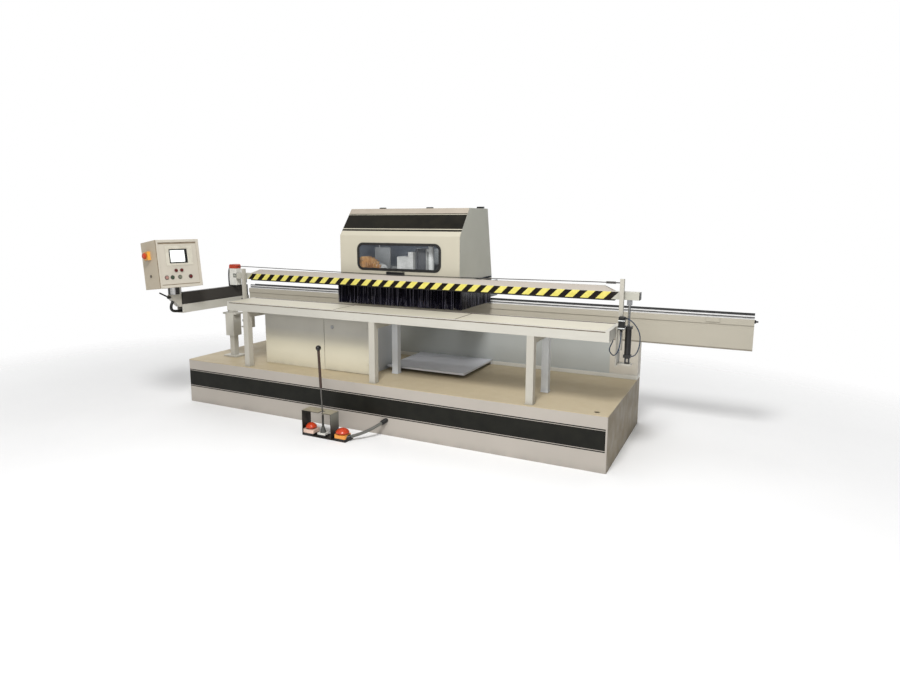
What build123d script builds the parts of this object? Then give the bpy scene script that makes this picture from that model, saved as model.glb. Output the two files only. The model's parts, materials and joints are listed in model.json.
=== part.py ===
"""Profile sander with a fixed work table and a sanding hood that travels on rails.

The frame is in millimetres. X runs along the machine, Y points to its rear, Z points up, and
the origin is the centre of the base's underside. The workpiece lies on the table, a striped
beam clamps it from above, and the wheels under the hood sand its rear edge.
"""

import os
from math import asin, cos, pi, radians, sin, tan

from build123d import *

os.makedirs("parts", exist_ok=True)

# Clearances shared by the fits
running_clearance = 0.05
curved_gap = 0.3
press_gap = 0.2

# Base plinth and deck
base_length = 3600
base_depth = 1150
base_height = 372
plinth_wall = 4
plinth_corner = 10
plinth_flange = 50
plinth_rib_pitch = 600
plinth_rib_count = 5
plinth_rib_foot = 60
deck_thickness = 5
deck_hole_diameter = 36
deck_hole_inset_x = 84
deck_hole_inset_y = 67

# Rear wall and the rail beam on it
wall_depth = 120
wall_sheet = 4
wall_foot_height = 28
wall_foot_depth = 14
rail_beam_drop = 238
rail_beam_height = 222
rail_beam_sheet = 8
rail_beam_left = -2040
rail_beam_right = 2560
rail_ledge_height = 42
rail_ledge_proud = 6
rail_end_hole = 90
stop_plate_width = 44
stop_plate_height = 30
stop_plate_thickness = 6
stop_plate_inset = 264

# Guide rails and drive belt on top of the rail beam
shaft_diameter = 26
shaft_rise = 22
rail_inset = 28
rail_foot_width = 36
rail_foot_height = 6
rail_stem = 10
belt_width = 25
belt_thickness = 5
belt_clamp_length = 60
belt_clamp_width = 27
belt_clamp_height = 16
belt_clamp_inset = 30
tension_screw_diameter = 12
tension_nut_diameter = 24
tension_nut_thickness = 10
tension_screw_length = 24
tension_screw_drop = 21

# Work table
table_left_inset = 455
table_right_inset = 21
table_height = 900
table_front_inset = 26
table_depth = 330
apron_height = 71
apron_sheet = 6
table_end_width = 24
board_thickness = 25
board_gap = 1.5
seam_left = -274
seam_right = 740
seam_gap = 2
bar_thickness = 6
bar_count = 9

# Trestles under the table
trestle_middle = 68
trestle_right = 1280
leg_width = 50
leg_foot_width = 56
leg_foot_thickness = 8
trestle_cabinet_gap = 2
rear_leg_setback = 29

# Switch cabinet under the table
cabinet_left = -1120
cabinet_right = -81
cabinet_inset = 204
cabinet_depth = 335
cabinet_table_gap = 14
cabinet_sheet = 2
cabinet_lip = 22
cabinet_split = -510
door_gap = 4
door_sheet = 3
door_standoff = 0.5
door_reveal = 6
hinge_pin_diameter = 6
hinge_barrel_diameter = 11
hinge_knuckle = 22
hinge_leaf = 2.5
cabinet_hinge_height = 90
lock_diameter = 22
lock_head_diameter = 30
lock_head_thickness = 5
lock_barrel_length = 24
lock_cam_length = 96
lock_cam_width = 16
lock_cam_thickness = 4
lock_inset = 79
lock_drop = 90
lock_slot_width = 4
gear_plate_thickness = 3
gear_plate_margin = 60
gear_plate_standoff = 12
gear_depth = 85

# Dust tray above the deck
tray_left = -60
tray_right = 620
tray_front = -118
tray_height = 38
tray_sheet = 3
tray_lip = 14

# Clamp beam and what guides and drives it
clamp_inset = 80
clamp_depth = 60
clamp_opening = 166
clamp_tube_height = 49
clamp_cover_rise = 33
clamp_cover_slope = 39
clamp_wall = 3
clamp_overhang = 124
clamp_cap_thickness = 4
cover_inset = 30
cover_end_slope = 72
pad_thickness = 10
pad_width = 40
stand_plate = 8
stand_width = 120
stand_drop = 189
stand_shelf = 92
stand_shelf_thickness = 10
stand_shelf_depth = 62
post_width = 26
post_gap = 6
left_post_rise = 255
right_post_rise = 45
post_drop = 155
cylinder_offset = 63
cylinder_diameter = 40
cylinder_head = 46
cylinder_head_height = 18
cylinder_fork = 40
fork_slot = 14
fork_margin = 6
cylinder_length = 205
piston_diameter = 32
piston_thickness = 20
piston_rod_diameter = 16
piston_end_gap = 2
clevis_width = 30
clevis_height = 35

# Pull rope, its switch and its tensioner
rope_diameter = 6
rope_rise = 19
rope_inset = 41
rope_sag = 18
rope_lead_in = 90
rope_side_count = 8
switch_width = 78
switch_depth = 64
switch_shift = 30
switch_height = 155
switch_cap_width = 74
switch_cap_height = 36
turnbuckle_length = 60
turnbuckle_diameter = 15
turnbuckle_inset = 40
hook_diameter = 8
rope_lug = 12

# Panel arm, its column and its fence
arm_setoff = 205
arm_width = 60
arm_height = 68
arm_front = -850
arm_rear = -104
arm_sheet = 4
fence_width = 40
fence_height = 95
fence_setback = 12
fence_sheet = 3
column_y = -280
column_foot_x = 150
column_foot_y = 120
column_foot_thickness = 12
column_tube = 50
column_sleeve = 92
column_sleeve_length = 190
column_flange = 150
column_flange_thickness = 14
column_neck = 60
column_neck_height = 82

# Control panel
neck_reach = 41
neck_diameter = 44
neck_engagement = 36
hub_diameter = 100
hub_rise = 88
hub_length = 65
bracket_gap = 2
bracket_width = 50
bracket_reach = 91
bracket_nose = 32
bracket_drop = 17
bracket_root = 17
panel_width = 344
panel_height = 367
panel_depth = 245
panel_turn = 74.5
panel_lean = 7.15
panel_reach = 124
panel_sheet = 2
panel_front_thickness = 8
panel_border = 20
panel_recess = 4
bezel_width = 214
bezel_height = 152
bezel_thickness = 3
bezel_drop = 47
bezel_shift = 7
screen_width = 156
screen_height = 112
screen_shift = -1
button_diameter = 24
button_proud = 9
button_inside = 10
upper_button_height = 130
lower_button_height = 78
lamp_left_x = -33
lamp_right_x = 12
button_spots = {
    "button_start": -110,
    "button_green": -65,
    "button_grey": -5,
    "button_stop": 81,
}
estop_height = 258
estop_base_size = 64
estop_base_thickness = 24
estop_stem_diameter = 22
estop_head_diameter = 46
estop_head_thickness = 16
estop_travel_gap = 7
estop_stem_inside = 14
side_lock_height = 100
side_lock_diameter = 20
side_lock_thickness = 6
lever_stud_diameter = 10
lever_hub_diameter = 22
lever_hub_length = 20
lever_length = 105
lever_diameter = 12
lever_tilt = 16
lever_stud_inside = 20

# Foot switch in front of the base
foot_left = -356
foot_right = 27
foot_setoff = 273
foot_depth = 100
foot_plate = 5
guard_sheet = 4
guard_width = 258
guard_height = 190
guard_notch = 30
left_pedal_inset = 52
right_pedal_inset = 52
pedal_setback = 42
pedal_base_width = 92
pedal_base_depth = 84
pedal_base_height = 42
left_dome_diameter = 82
right_dome_diameter = 98
dome_height = 34
dome_skirt = 8
dome_band_count = 6
pedal_stem_diameter = 30
pedal_stem_inside = 24
pedal_block_floor = 4
pedal_travel_gap = 10
rod_inset = 164
rod_lean = 2.5
rod_setback = 36
rod_block_width = 66
rod_block_depth = 52
rod_block_height = 30
boot_height = 44
boot_bottom_diameter = 46
boot_lip = 3
rod_diameter = 10
rod_sleeve_diameter = 16
rod_sleeve_length = 88
rod_grip_diameter = 20
rod_grip_bottom = 368
rod_top = 642
ball_diameter = 40
ball_sink = 2

# Conduit from the foot switch to the base
conduit_diameter = 24
gland_diameter = 36
gland_length = 16
conduit_runs = 5
conduit_bow = 12
conduit_sag = 6
conduit_inlet_x = 180
conduit_inlet_height = 98
conduit_exit_height = 30

# Carriage
hood_left = -446
hood_right = 609
block_length = 100
block_width = 54
block_height = 47
block_spread = 410
block_lift = 3
slot_clearance = 2
saddle_thickness = 15
saddle_overhang = 9
cheek_thickness = 12
cheek_setback = 38
cheek_tip = 30
cheek_throat = 73
frame_bar = 30
frame_rise = 118
pulley_diameter = 80
pulley_width = 22
pulley_shaft_diameter = 16
pulley_slot_length = 104
pulley_slot_width = 36
motor_bracket = 8
motor_bracket_width = 130
drive_motor_diameter = 108
drive_motor_length = 170
shaft_engagement = 30
shaft_end_gap = 1

# Hood over the carriage
hood_clearance = 51
hood_front_height = 330
hood_slope_height = 209
hood_slope_depth = 170
hood_top_depth = 363
hood_rear_spread = 105
hood_sheet = 2.5
hood_bottom_gap = 14
back_sheet = 3
back_gap = 3
side_clearance = 3
hood_hinge_spread = 458
hood_hinge_pin = 8
hood_hinge_barrel = 16
hood_hinge_rise = 9
hood_hinge_leaf = 5
hood_hinge_back = 13
hood_knuckle = 20
hinge_relief = 20
window_width = 726
window_height = 199
window_shift = 5
window_rise = 167.5
window_corner = 46
gasket_lap = 8
gasket_thickness = 3
pane_thickness = 4
handle_width = 148
handle_reach = 34
handle_bar = 16
handle_height = 24
handle_shift = -10.5
handle_rise = 43

# Brush curtain under the hood
holder_thickness = 24
holder_height = 40
holder_top_drop = 8
backing_height = 8
backing_thickness = 18
bristle_gap = 6
bristle_radius = 3
front_bristle_count = 100
side_bristle_count = 56
bristle_row_count = 2
bristle_row_gap = 8

# Sanding units under the hood
tool_rail_size = 80
tool_rail_setback = 368
tool_rail_end_gap = 2
unit_plate = 12
unit_plate_width = 150
unit_plate_height = 236
flap_inset = 176
flap_rise = 37
flap_diameter = 280
flap_width = 85
flap_setback = 58
flap_hub_diameter = 84
flap_count = 30
flap_thickness = 4
flap_motor_diameter = 124
flap_motor_length = 148
flap_shaft_diameter = 24
profile_inset = 581
finish_inset = 708
wheel_setback = 88
unit_rise = 27
profile_box_width = 140
profile_box_depth = 126
profile_box_height = 157
profile_post_width = 42
profile_post_rise = 38
finish_box_width = 84
finish_box_depth = 76
finish_box_height = 220
finish_plate = 16
unit_arm_width = 60
unit_arm_height = 70
wheel_shaft_diameter = 20
wheel_rise = 30
wheel_height = 62
profile_wheel_diameter = 130
profile_groove = 22
profile_lip = 12
finish_wheel_diameter = 108
finish_fin_count = 18
finish_fin_thickness = 5
finish_core_diameter = 52
lift_gap = 4
lift_diameter = 44
lift_rise = 9
lift_height = 277

# Hoses and leads that the machine holds at both ends
air_hose_diameter = 7
air_hose_side_count = 8
hose_loop_width = 66
hose_loop_drop = 125
hose_bulge = 54
valve_width = 38
valve_depth = 44
valve_height = 84
valve_shift = 14
valve_drop = 18
valve_plate = 7
valve_overhang = 2
cable_diameter = 22
cable_bulge = 30
cable_hang = 45
cable_tuck = 50
lead_diameter = 10
lead_bulge = 40

# Places worked out from the sizes above
base_front = -base_depth / 2
base_rear = base_depth / 2
plinth_height = base_height - deck_thickness
wall_front = base_rear - wall_depth
table_left = table_left_inset - base_length / 2
table_right = base_length / 2 - table_right_inset
rail_beam_bottom = table_height - rail_beam_drop
rail_beam_top = rail_beam_bottom + rail_beam_height
rail_beam_length = rail_beam_right - rail_beam_left
rail_beam_middle = (rail_beam_left + rail_beam_right) / 2
shaft_z = rail_beam_top + shaft_rise
front_rail_y = wall_front + rail_inset
rear_rail_y = base_rear - rail_inset
belt_y = (front_rail_y + rear_rail_y) / 2
belt_top = rail_beam_top + belt_thickness
table_front = base_front + table_front_inset
table_rear = table_front + table_depth
table_middle = (table_left + table_right) / 2
apron_bottom = table_height - apron_height
board_bottom = table_height - board_thickness
arm_bottom = table_height - arm_height
rear_leg_centre_y = table_rear + rear_leg_setback
trestle_left = cabinet_left - leg_foot_width / 2 - trestle_cabinet_gap
cabinet_front = table_front + cabinet_inset
cabinet_top = apron_bottom - cabinet_table_gap
clamp_front = table_rear - clamp_inset
clamp_rear = clamp_front + clamp_depth
clamp_bottom = table_height + clamp_opening
clamp_left = table_left - clamp_overhang
clamp_right = table_right + clamp_overhang
clamp_top = clamp_bottom + clamp_tube_height
clamp_middle_y = (clamp_front + clamp_rear) / 2
cylinder_x = table_right + cylinder_offset
shelf_top = apron_bottom - stand_drop + stand_shelf_thickness
cylinder_bottom = shelf_top + cylinder_fork
left_post_top = table_height + left_post_rise
post_bottom = table_height - post_drop
switch_bottom = table_height + fence_height
switch_top = switch_bottom + switch_height
rope_height = switch_top + rope_rise
rope_y = clamp_front + rope_inset
arm_x = table_left - arm_setoff
neck_y = arm_front - neck_reach
fence_front = arm_front + fence_setback
column_sleeve_top = arm_bottom - column_neck_height
column_tube_top = column_sleeve_top - column_sleeve_length
hub_bottom = table_height + hub_rise
neck_top = hub_bottom + neck_engagement
panel_bottom = hub_bottom + hub_length
bracket_top = hub_bottom - bracket_gap
bracket_front = arm_front - bracket_reach
bracket_bottom = table_height - bracket_drop
lever_height = bracket_top - bracket_nose + lever_hub_diameter / 2 + bracket_gap / 2
foot_front = base_front - foot_setoff
left_pedal_x = foot_left + left_pedal_inset
right_pedal_x = foot_right - right_pedal_inset
pedal_y = foot_front + pedal_setback
rod_x = foot_left + rod_inset
rod_y = foot_front + rod_setback
block_bottom = rail_beam_top + rail_foot_height + block_lift
saddle_bottom = block_bottom + block_height
saddle_top = saddle_bottom + saddle_thickness
frame_bottom = saddle_top + frame_rise
frame_top = frame_bottom + frame_bar
hood_middle = (hood_left + hood_right) / 2
hood_front = clamp_rear + hood_clearance
hood_top_front = hood_front + hood_slope_depth
hood_top_rear = hood_top_front + hood_top_depth
hood_rear_bottom = hood_top_rear + hood_rear_spread
hood_bottom = frame_top + hood_bottom_gap
hood_knee = hood_bottom + hood_front_height
hood_top = hood_knee + hood_slope_height
window_centre_x = hood_middle + window_shift
window_centre_z = hood_bottom + window_rise
handle_x = hood_middle + handle_shift
handle_z = hood_bottom + handle_rise
cheek_front = hood_front + cheek_setback
bristle_bottom = table_height + bristle_gap
tool_rail_y = hood_front + tool_rail_setback
flap_x = hood_left + flap_inset
flap_z = frame_top + flap_rise
flap_front = hood_front + flap_setback
profile_x = hood_left + profile_inset
finish_x = hood_left + finish_inset
lift_x = finish_x + finish_box_width / 2 + lift_gap + lift_diameter / 2
lift_bottom = frame_top + lift_rise
wheel_y = hood_front + wheel_setback
wheel_bottom = table_height + wheel_rise
unit_box_bottom = frame_top + unit_rise
table_mirror = Plane.YZ.offset(table_middle)


def save(piece, name):
    """Label a finished piece and write it to its own file."""
    piece.part.label = name
    export_step(piece.part, f"parts/{name}.step")


def block(low, high, mode=Mode.ADD):
    """Add or cut a box between two opposite corners in the part being built."""
    with Locations(tuple((a + b) / 2 for a, b in zip(low, high))):
        Box(*[b - a for a, b in zip(low, high)], mode=mode)


def cord_radii(points):
    """The largest bend at each inner point, from the shorter run and the turn there."""
    radii = []
    corners = [Vector(point) for point in points]
    for before, corner, after in zip(corners, corners[1:], corners[2:]):
        run_in = corner - before
        run_out = after - corner
        turn = run_in.get_angle(run_out)
        radii.append(0.45 * min(run_in.length, run_out.length) / tan(radians(turn) / 2))
    return radii


def tube_along(points, diameter, radii, side_count=0):
    """A tube along straight runs joined by arcs, round unless it is given flat sides."""
    with BuildPart() as tube:
        with BuildLine() as path:
            FilletPolyline(*points, radius=radii)
        start_plane = Plane(origin=path.line @ 0, z_dir=path.line % 0)
        with BuildSketch(start_plane):
            if side_count:
                RegularPolygon(diameter / 2, side_count)
            else:
                Circle(diameter / 2)
        sweep(path=path.line)
    run = sum(edge.length for edge in path.edges())
    print(f"tube {run:.0f} mm long, {tube.part.volume:.0f} mm3, of {pi * diameter**2 / 4 * run:.0f} mm3")
    return tube


def rod(start, length, diameter, turn=(0, 0, 0), mode=Mode.ADD):
    """Add or cut a cylinder that starts at a point and runs along Z, or along the turned Z."""
    with Locations(Location(start, turn)):
        Cylinder(diameter / 2, length, align=(Align.CENTER, Align.CENTER, Align.MIN), mode=mode)


ALONG_X = (0, 90, 0)
ALONG_Y = (-90, 0, 0)


# Base plinth: folded sheet walls with a floor flange and cross ribs
with BuildPart() as base_plinth:
    with BuildSketch():
        RectangleRounded(base_length, base_depth, plinth_corner)
        offset(amount=-plinth_wall, mode=Mode.SUBTRACT)
    extrude(amount=plinth_height)
    with BuildSketch():
        RectangleRounded(base_length, base_depth, plinth_corner)
        Rectangle(base_length - 2 * plinth_flange, base_depth - 2 * plinth_flange, mode=Mode.SUBTRACT)
    extrude(amount=plinth_wall)
    with GridLocations(plinth_rib_pitch, 0, plinth_rib_count, 1):
        rib_depth = base_depth - 2 * plinth_wall
        Box(plinth_wall, rib_depth, plinth_height, align=(Align.CENTER, Align.CENTER, Align.MIN))
        Box(plinth_rib_foot, rib_depth, plinth_wall, align=(Align.CENTER, Align.CENTER, Align.MIN))
save(base_plinth, "base_plinth")

# Deck plate on the plinth, with the lifting hole near its front right corner
with BuildPart() as base_deck:
    with BuildSketch(Plane.XY.offset(plinth_height)):
        RectangleRounded(base_length, base_depth, plinth_corner)
        with Locations((base_length / 2 - deck_hole_inset_x, base_front + deck_hole_inset_y)):
            Circle(deck_hole_diameter / 2, mode=Mode.SUBTRACT)
    extrude(amount=deck_thickness)
save(base_deck, "base_deck")

# Rear wall: a sheet box with a foot bar along its front
with BuildPart() as rear_wall:
    with BuildSketch(Plane.XY.offset(base_height)):
        with Locations((0, (wall_front + base_rear) / 2)):
            Rectangle(base_length, wall_depth)
            Rectangle(base_length - 2 * wall_sheet, wall_depth - 2 * wall_sheet, mode=Mode.SUBTRACT)
    extrude(amount=rail_beam_bottom - base_height)
    foot_low = (-base_length / 2, wall_front - wall_foot_depth, base_height)
    block(foot_low, (base_length / 2, wall_front, base_height + wall_foot_height))
save(rear_wall, "rear_wall")

# Rail beam: a welded box beam with a ledge below the rails, end plates and two stop plates
with BuildPart() as rail_beam:
    with BuildSketch(Plane.YZ.offset(rail_beam_left)):
        with Locations(((wall_front + base_rear) / 2, (rail_beam_bottom + rail_beam_top) / 2)):
            Rectangle(wall_depth, rail_beam_height)
            Rectangle(
                wall_depth - 2 * rail_beam_sheet, rail_beam_height - 2 * rail_beam_sheet, mode=Mode.SUBTRACT
            )
    extrude(amount=rail_beam_length)
    for end_x in (rail_beam_left, rail_beam_right - rail_beam_sheet):
        block((end_x, wall_front, rail_beam_bottom), (end_x + rail_beam_sheet, base_rear, rail_beam_top))
    beam_centre = (rail_beam_left, (wall_front + base_rear) / 2, (rail_beam_bottom + rail_beam_top) / 2)
    rod(beam_centre, rail_beam_length, rail_end_hole, ALONG_X, Mode.SUBTRACT)
    ledge_bottom = rail_beam_top - rail_ledge_height
    ledge_front = wall_front - rail_ledge_proud
    block((rail_beam_left, ledge_front, ledge_bottom), (rail_beam_right, wall_front, rail_beam_top))
    for step in (0, 1):
        plate_x = rail_beam_right - stop_plate_inset - step * (stop_plate_width + press_gap)
        plate_low = (plate_x, ledge_front - stop_plate_thickness, rail_beam_top - stop_plate_height)
        block(plate_low, (plate_x + stop_plate_width, ledge_front, rail_beam_top))
save(rail_beam, "rail_beam")

# Guide rails: round shafts, each on its stem and foot
with BuildPart() as guide_rails:
    for rail_y in (front_rail_y, rear_rail_y):
        with BuildSketch(Plane.YZ.offset(rail_beam_left)):
            with Locations((rail_y, rail_beam_top)):
                Rectangle(rail_foot_width, rail_foot_height, align=(Align.CENTER, Align.MIN))
                Rectangle(rail_stem, shaft_rise, align=(Align.CENTER, Align.MIN))
            with Locations((rail_y, shaft_z)):
                Circle(shaft_diameter / 2)
        extrude(amount=rail_beam_length)
save(guide_rails, "guide_rails")

# Drive belt lying on the beam, its two end clamps and the tension screw in the end plate
with BuildPart() as drive_belt:
    belt_left = rail_beam_left + belt_clamp_inset
    belt_right = rail_beam_right - belt_clamp_inset
    block(
        (belt_left, belt_y - belt_width / 2, rail_beam_top),
        (belt_right, belt_y + belt_width / 2, belt_top),
    )
    for clamp_x in (belt_left, belt_right - belt_clamp_length):
        clamp_low = (clamp_x, belt_y - belt_clamp_width / 2, belt_top)
        clamp_high = (clamp_x + belt_clamp_length, belt_y + belt_clamp_width / 2, belt_top + belt_clamp_height)
        block(clamp_low, clamp_high)
    screw_start = (rail_beam_right, belt_y, rail_beam_top - tension_screw_drop)
    rod(screw_start, tension_nut_thickness, tension_nut_diameter, ALONG_X)
    rod(screw_start, tension_screw_length, tension_screw_diameter, ALONG_X)
save(drive_belt, "drive_belt")

# Table frame: front apron, rear rail, solid end bars and cross bars under the boards
with BuildPart() as table_frame:
    with BuildSketch(Plane.XY.offset(apron_bottom)):
        with Locations((table_middle, (table_front + table_rear) / 2)):
            Rectangle(table_right - table_left, table_depth)
            Rectangle(
                table_right - table_left - 2 * table_end_width,
                table_depth - 2 * apron_sheet,
                mode=Mode.SUBTRACT,
            )
    extrude(amount=apron_height)
    bar_pitch = (table_right - table_left - 2 * table_end_width) / (bar_count + 1)
    with Locations((table_middle, (table_front + table_rear) / 2, apron_bottom)):
        with GridLocations(bar_pitch, 0, bar_count, 1):
            Box(
                bar_thickness,
                table_depth - 2 * apron_sheet,
                apron_height - board_thickness,
                align=(Align.CENTER, Align.CENTER, Align.MIN),
            )
save(table_frame, "table_frame")

# Table boards: three boards between the end bars, with open seams
with BuildPart() as table_boards:
    board_front = table_front + apron_sheet + board_gap
    board_rear = table_rear - apron_sheet - board_gap
    board_edges = [
        (table_left + table_end_width + press_gap, seam_left - seam_gap / 2),
        (seam_left + seam_gap / 2, seam_right - seam_gap / 2),
        (seam_right + seam_gap / 2, table_right - table_end_width - press_gap),
    ]
    for board_left, board_right in board_edges:
        block((board_left, board_front, board_bottom), (board_right, board_rear, table_height))
save(table_boards, "table_boards")

# Trestles: a front leg, a rear leg and the bearer that joins them
with BuildPart() as table_trestles:
    bearer_rear = rear_leg_centre_y + leg_width / 2
    front_leg_y = table_front + leg_width / 2
    for trestle_x in (trestle_left, trestle_middle, trestle_right):
        bearer_low = (trestle_x - leg_width / 2, table_front, apron_bottom - leg_width)
        block(bearer_low, (trestle_x + leg_width / 2, bearer_rear, apron_bottom))
        for leg_y in (front_leg_y, rear_leg_centre_y):
            with Locations((trestle_x, leg_y, base_height)):
                Box(
                    leg_width,
                    leg_width,
                    apron_bottom - base_height,
                    align=(Align.CENTER, Align.CENTER, Align.MIN),
                )
                Box(
                    leg_foot_width,
                    min(leg_foot_width, 2 * (leg_y - base_front)),
                    leg_foot_thickness,
                    align=(Align.CENTER, Align.CENTER, Align.MIN),
                )
save(table_trestles, "table_trestles")

# Switch cabinet body: folded box, open at the front inside a lip, with the door's hinge pins
cabinet_rear = cabinet_front + cabinet_depth
door_left = cabinet_split + door_gap / 2
door_right = cabinet_right - door_reveal
door_back = cabinet_front - door_standoff
door_face = door_back - door_sheet
hinge_x = cabinet_right + hinge_barrel_diameter / 2
hinge_y = door_face - hinge_barrel_diameter / 2 + hinge_leaf
hinge_heights = (base_height + cabinet_hinge_height, cabinet_top - cabinet_hinge_height)
with BuildPart() as cabinet_body:
    block((cabinet_left, cabinet_front, base_height), (cabinet_right, cabinet_rear, cabinet_top))
    block(
        (cabinet_left + cabinet_sheet, cabinet_front + cabinet_sheet, base_height + cabinet_sheet),
        (cabinet_right - cabinet_sheet, cabinet_rear - cabinet_sheet, cabinet_top - cabinet_sheet),
        Mode.SUBTRACT,
    )
    block(
        (cabinet_left + cabinet_lip, cabinet_front, base_height + cabinet_lip),
        (cabinet_right - cabinet_lip, cabinet_front + cabinet_sheet, cabinet_top - cabinet_lip),
        Mode.SUBTRACT,
    )
    for hinge_z in hinge_heights:
        leaf_low = (cabinet_right, hinge_y, hinge_z - 1.5 * hinge_knuckle)
        block(leaf_low, (cabinet_right + hinge_leaf, cabinet_front + cabinet_lip, hinge_z + 1.5 * hinge_knuckle))
        for knuckle_z in (hinge_z - 1.5 * hinge_knuckle, hinge_z + 0.5 * hinge_knuckle):
            rod((hinge_x, hinge_y, knuckle_z), hinge_knuckle, hinge_barrel_diameter)
        middle_low = (cabinet_right - 1, hinge_y - hinge_barrel_diameter, hinge_z - hinge_knuckle / 2)
        middle_high = (hinge_x + hinge_barrel_diameter, cabinet_front - 1, hinge_z + hinge_knuckle / 2)
        block(middle_low, middle_high, Mode.SUBTRACT)
        rod((hinge_x, hinge_y, hinge_z - 1.5 * hinge_knuckle), 3 * hinge_knuckle, hinge_pin_diameter)
save(cabinet_body, "cabinet_body")

# Fixed front panel on the cabinet's left half
with BuildPart() as cabinet_panel:
    panel_low = (cabinet_left, cabinet_front - door_sheet, base_height + press_gap)
    block(panel_low, (cabinet_split - door_gap / 2, cabinet_front, cabinet_top))
save(cabinet_panel, "cabinet_panel")

# Cabinet door with its lock hole and its hinge knuckles
lock_x = door_left + lock_inset
lock_z = cabinet_top - lock_drop
with BuildPart() as cabinet_door:
    block((door_left, door_face, base_height + door_gap), (door_right, door_back, cabinet_top - door_gap))
    rod((lock_x, door_face, lock_z), door_sheet, lock_diameter + 2 * running_clearance, ALONG_Y, Mode.SUBTRACT)
    for hinge_z in hinge_heights:
        knuckle_height = hinge_knuckle - 2 * curved_gap
        knuckle_z = hinge_z - knuckle_height / 2
        leaf_low = (door_right - cabinet_lip, door_face - hinge_leaf, knuckle_z)
        block(leaf_low, (hinge_x, door_face, knuckle_z + knuckle_height))
        rod((hinge_x, hinge_y, knuckle_z), knuckle_height, hinge_barrel_diameter)
        pin_bore = hinge_pin_diameter + 2 * running_clearance
        rod((hinge_x, hinge_y, knuckle_z), knuckle_height, pin_bore, mode=Mode.SUBTRACT)
save(cabinet_door, "cabinet_door")

# Quarter-turn lock: head, barrel through the door and a cam that hangs down when open
with BuildPart() as door_lock:
    rod((lock_x, door_face - lock_head_thickness, lock_z), lock_head_thickness, lock_head_diameter, ALONG_Y)
    chamfer(door_lock.edges().filter_by(GeomType.CIRCLE).group_by(Axis.Y)[0], lock_head_thickness / 3)
    key_low = (lock_x - lock_slot_width / 2, door_face - lock_head_thickness, lock_z - lock_diameter / 3)
    key_high = (lock_x + lock_slot_width / 2, door_face - lock_head_thickness / 2, lock_z + lock_diameter / 3)
    block(key_low, key_high, Mode.SUBTRACT)
    rod((lock_x, door_face, lock_z), lock_barrel_length, lock_diameter, ALONG_Y)
    cam_back = door_face + lock_barrel_length
    cam_low = (lock_x - lock_cam_width / 2, cam_back - lock_cam_thickness, lock_z - lock_cam_length)
    block(cam_low, (lock_x + lock_cam_width / 2, cam_back, lock_z))
save(door_lock, "door_lock")

# Mounting plate in the cabinet with rows of switchgear
with BuildPart() as switchgear:
    gear_back = cabinet_rear - cabinet_sheet - gear_plate_standoff
    gear_front = gear_back - gear_plate_thickness
    plate_low = (cabinet_left + gear_plate_margin, gear_front, base_height + gear_plate_margin)
    plate_high = (cabinet_right - gear_plate_margin, gear_back, cabinet_top - gear_plate_margin)
    block(plate_low, plate_high)
    plate_width = plate_high[0] - plate_low[0]
    plate_tall = plate_high[2] - plate_low[2]
    for row, gear_count in enumerate((9, 6)):
        row_z = plate_low[2] + plate_tall * (0.27 + 0.45 * row)
        gear_pitch = plate_width / (gear_count + 1)
        with Locations(((plate_low[0] + plate_high[0]) / 2, gear_front - gear_depth / 2, row_z)):
            with GridLocations(gear_pitch, 0, gear_count, 1):
                Box(0.82 * gear_pitch, gear_depth, plate_tall * 0.27)
    for stud_x in (plate_low[0] + cabinet_lip, plate_high[0] - cabinet_lip):
        for stud_z in (plate_low[2] + cabinet_lip, plate_high[2] - cabinet_lip):
            rod((stud_x, gear_back, stud_z), gear_plate_standoff, lock_cam_width, ALONG_Y)
save(switchgear, "switchgear")

# Dust tray: a sheet with turned-down edges, flanged to the rear wall's foot bar
with BuildPart() as dust_tray:
    tray_top = base_height + tray_height
    tray_rear = wall_front - wall_foot_depth
    block((tray_left, tray_front, tray_top - tray_sheet), (tray_right, wall_front, tray_top))
    block((tray_left, tray_front, tray_top - tray_lip), (tray_right, tray_front + tray_sheet, tray_top))
    for lip_x in (tray_left, tray_right - tray_sheet):
        block((lip_x, tray_front, tray_top - tray_lip), (lip_x + tray_sheet, tray_rear, tray_top))
    rib_x = (tray_left + tray_right) / 2
    for foot_x in (tray_left, tray_right - tray_sheet):
        block((foot_x, tray_rear - wall_foot_depth, base_height), (foot_x + tray_sheet, tray_rear, tray_top))
save(dust_tray, "dust_tray")

# Clamp stands on the table's ends: plate, guide post and the shelf under the cylinder
post_front = clamp_front - post_gap - post_width
stand_rear = clamp_rear + stand_plate
with BuildPart() as clamp_stands:
    stand_low = (table_right, stand_rear - stand_width, apron_bottom - stand_drop)
    block(stand_low, (table_right + stand_plate, stand_rear, table_height))
    post_low = (table_right + stand_plate, post_front, post_bottom)
    block(post_low, (table_right + stand_plate + post_width, post_front + post_width, left_post_top))
    shelf_low = (table_right + stand_plate, clamp_middle_y - stand_shelf_depth / 2, apron_bottom - stand_drop)
    shelf_high = (
        table_right + stand_shelf,
        clamp_middle_y + stand_shelf_depth / 2,
        apron_bottom - stand_drop + stand_shelf_thickness,
    )
    block(shelf_low, shelf_high)
    mirror(about=table_mirror)
    rise_low = (table_right + stand_plate, post_front, left_post_top)
    rise_right = table_right + stand_plate + post_width
    rise_high = (rise_right, post_front + post_width, left_post_top + right_post_rise)
    block(rise_low, rise_high)
    lug_low = (table_right + stand_plate, post_front + post_width, rope_height - rope_lug)
    block(lug_low, (table_right + stand_plate + rope_lug, rope_y + rope_lug, rope_height + rope_lug))
save(clamp_stands, "clamp_stands")

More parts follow.
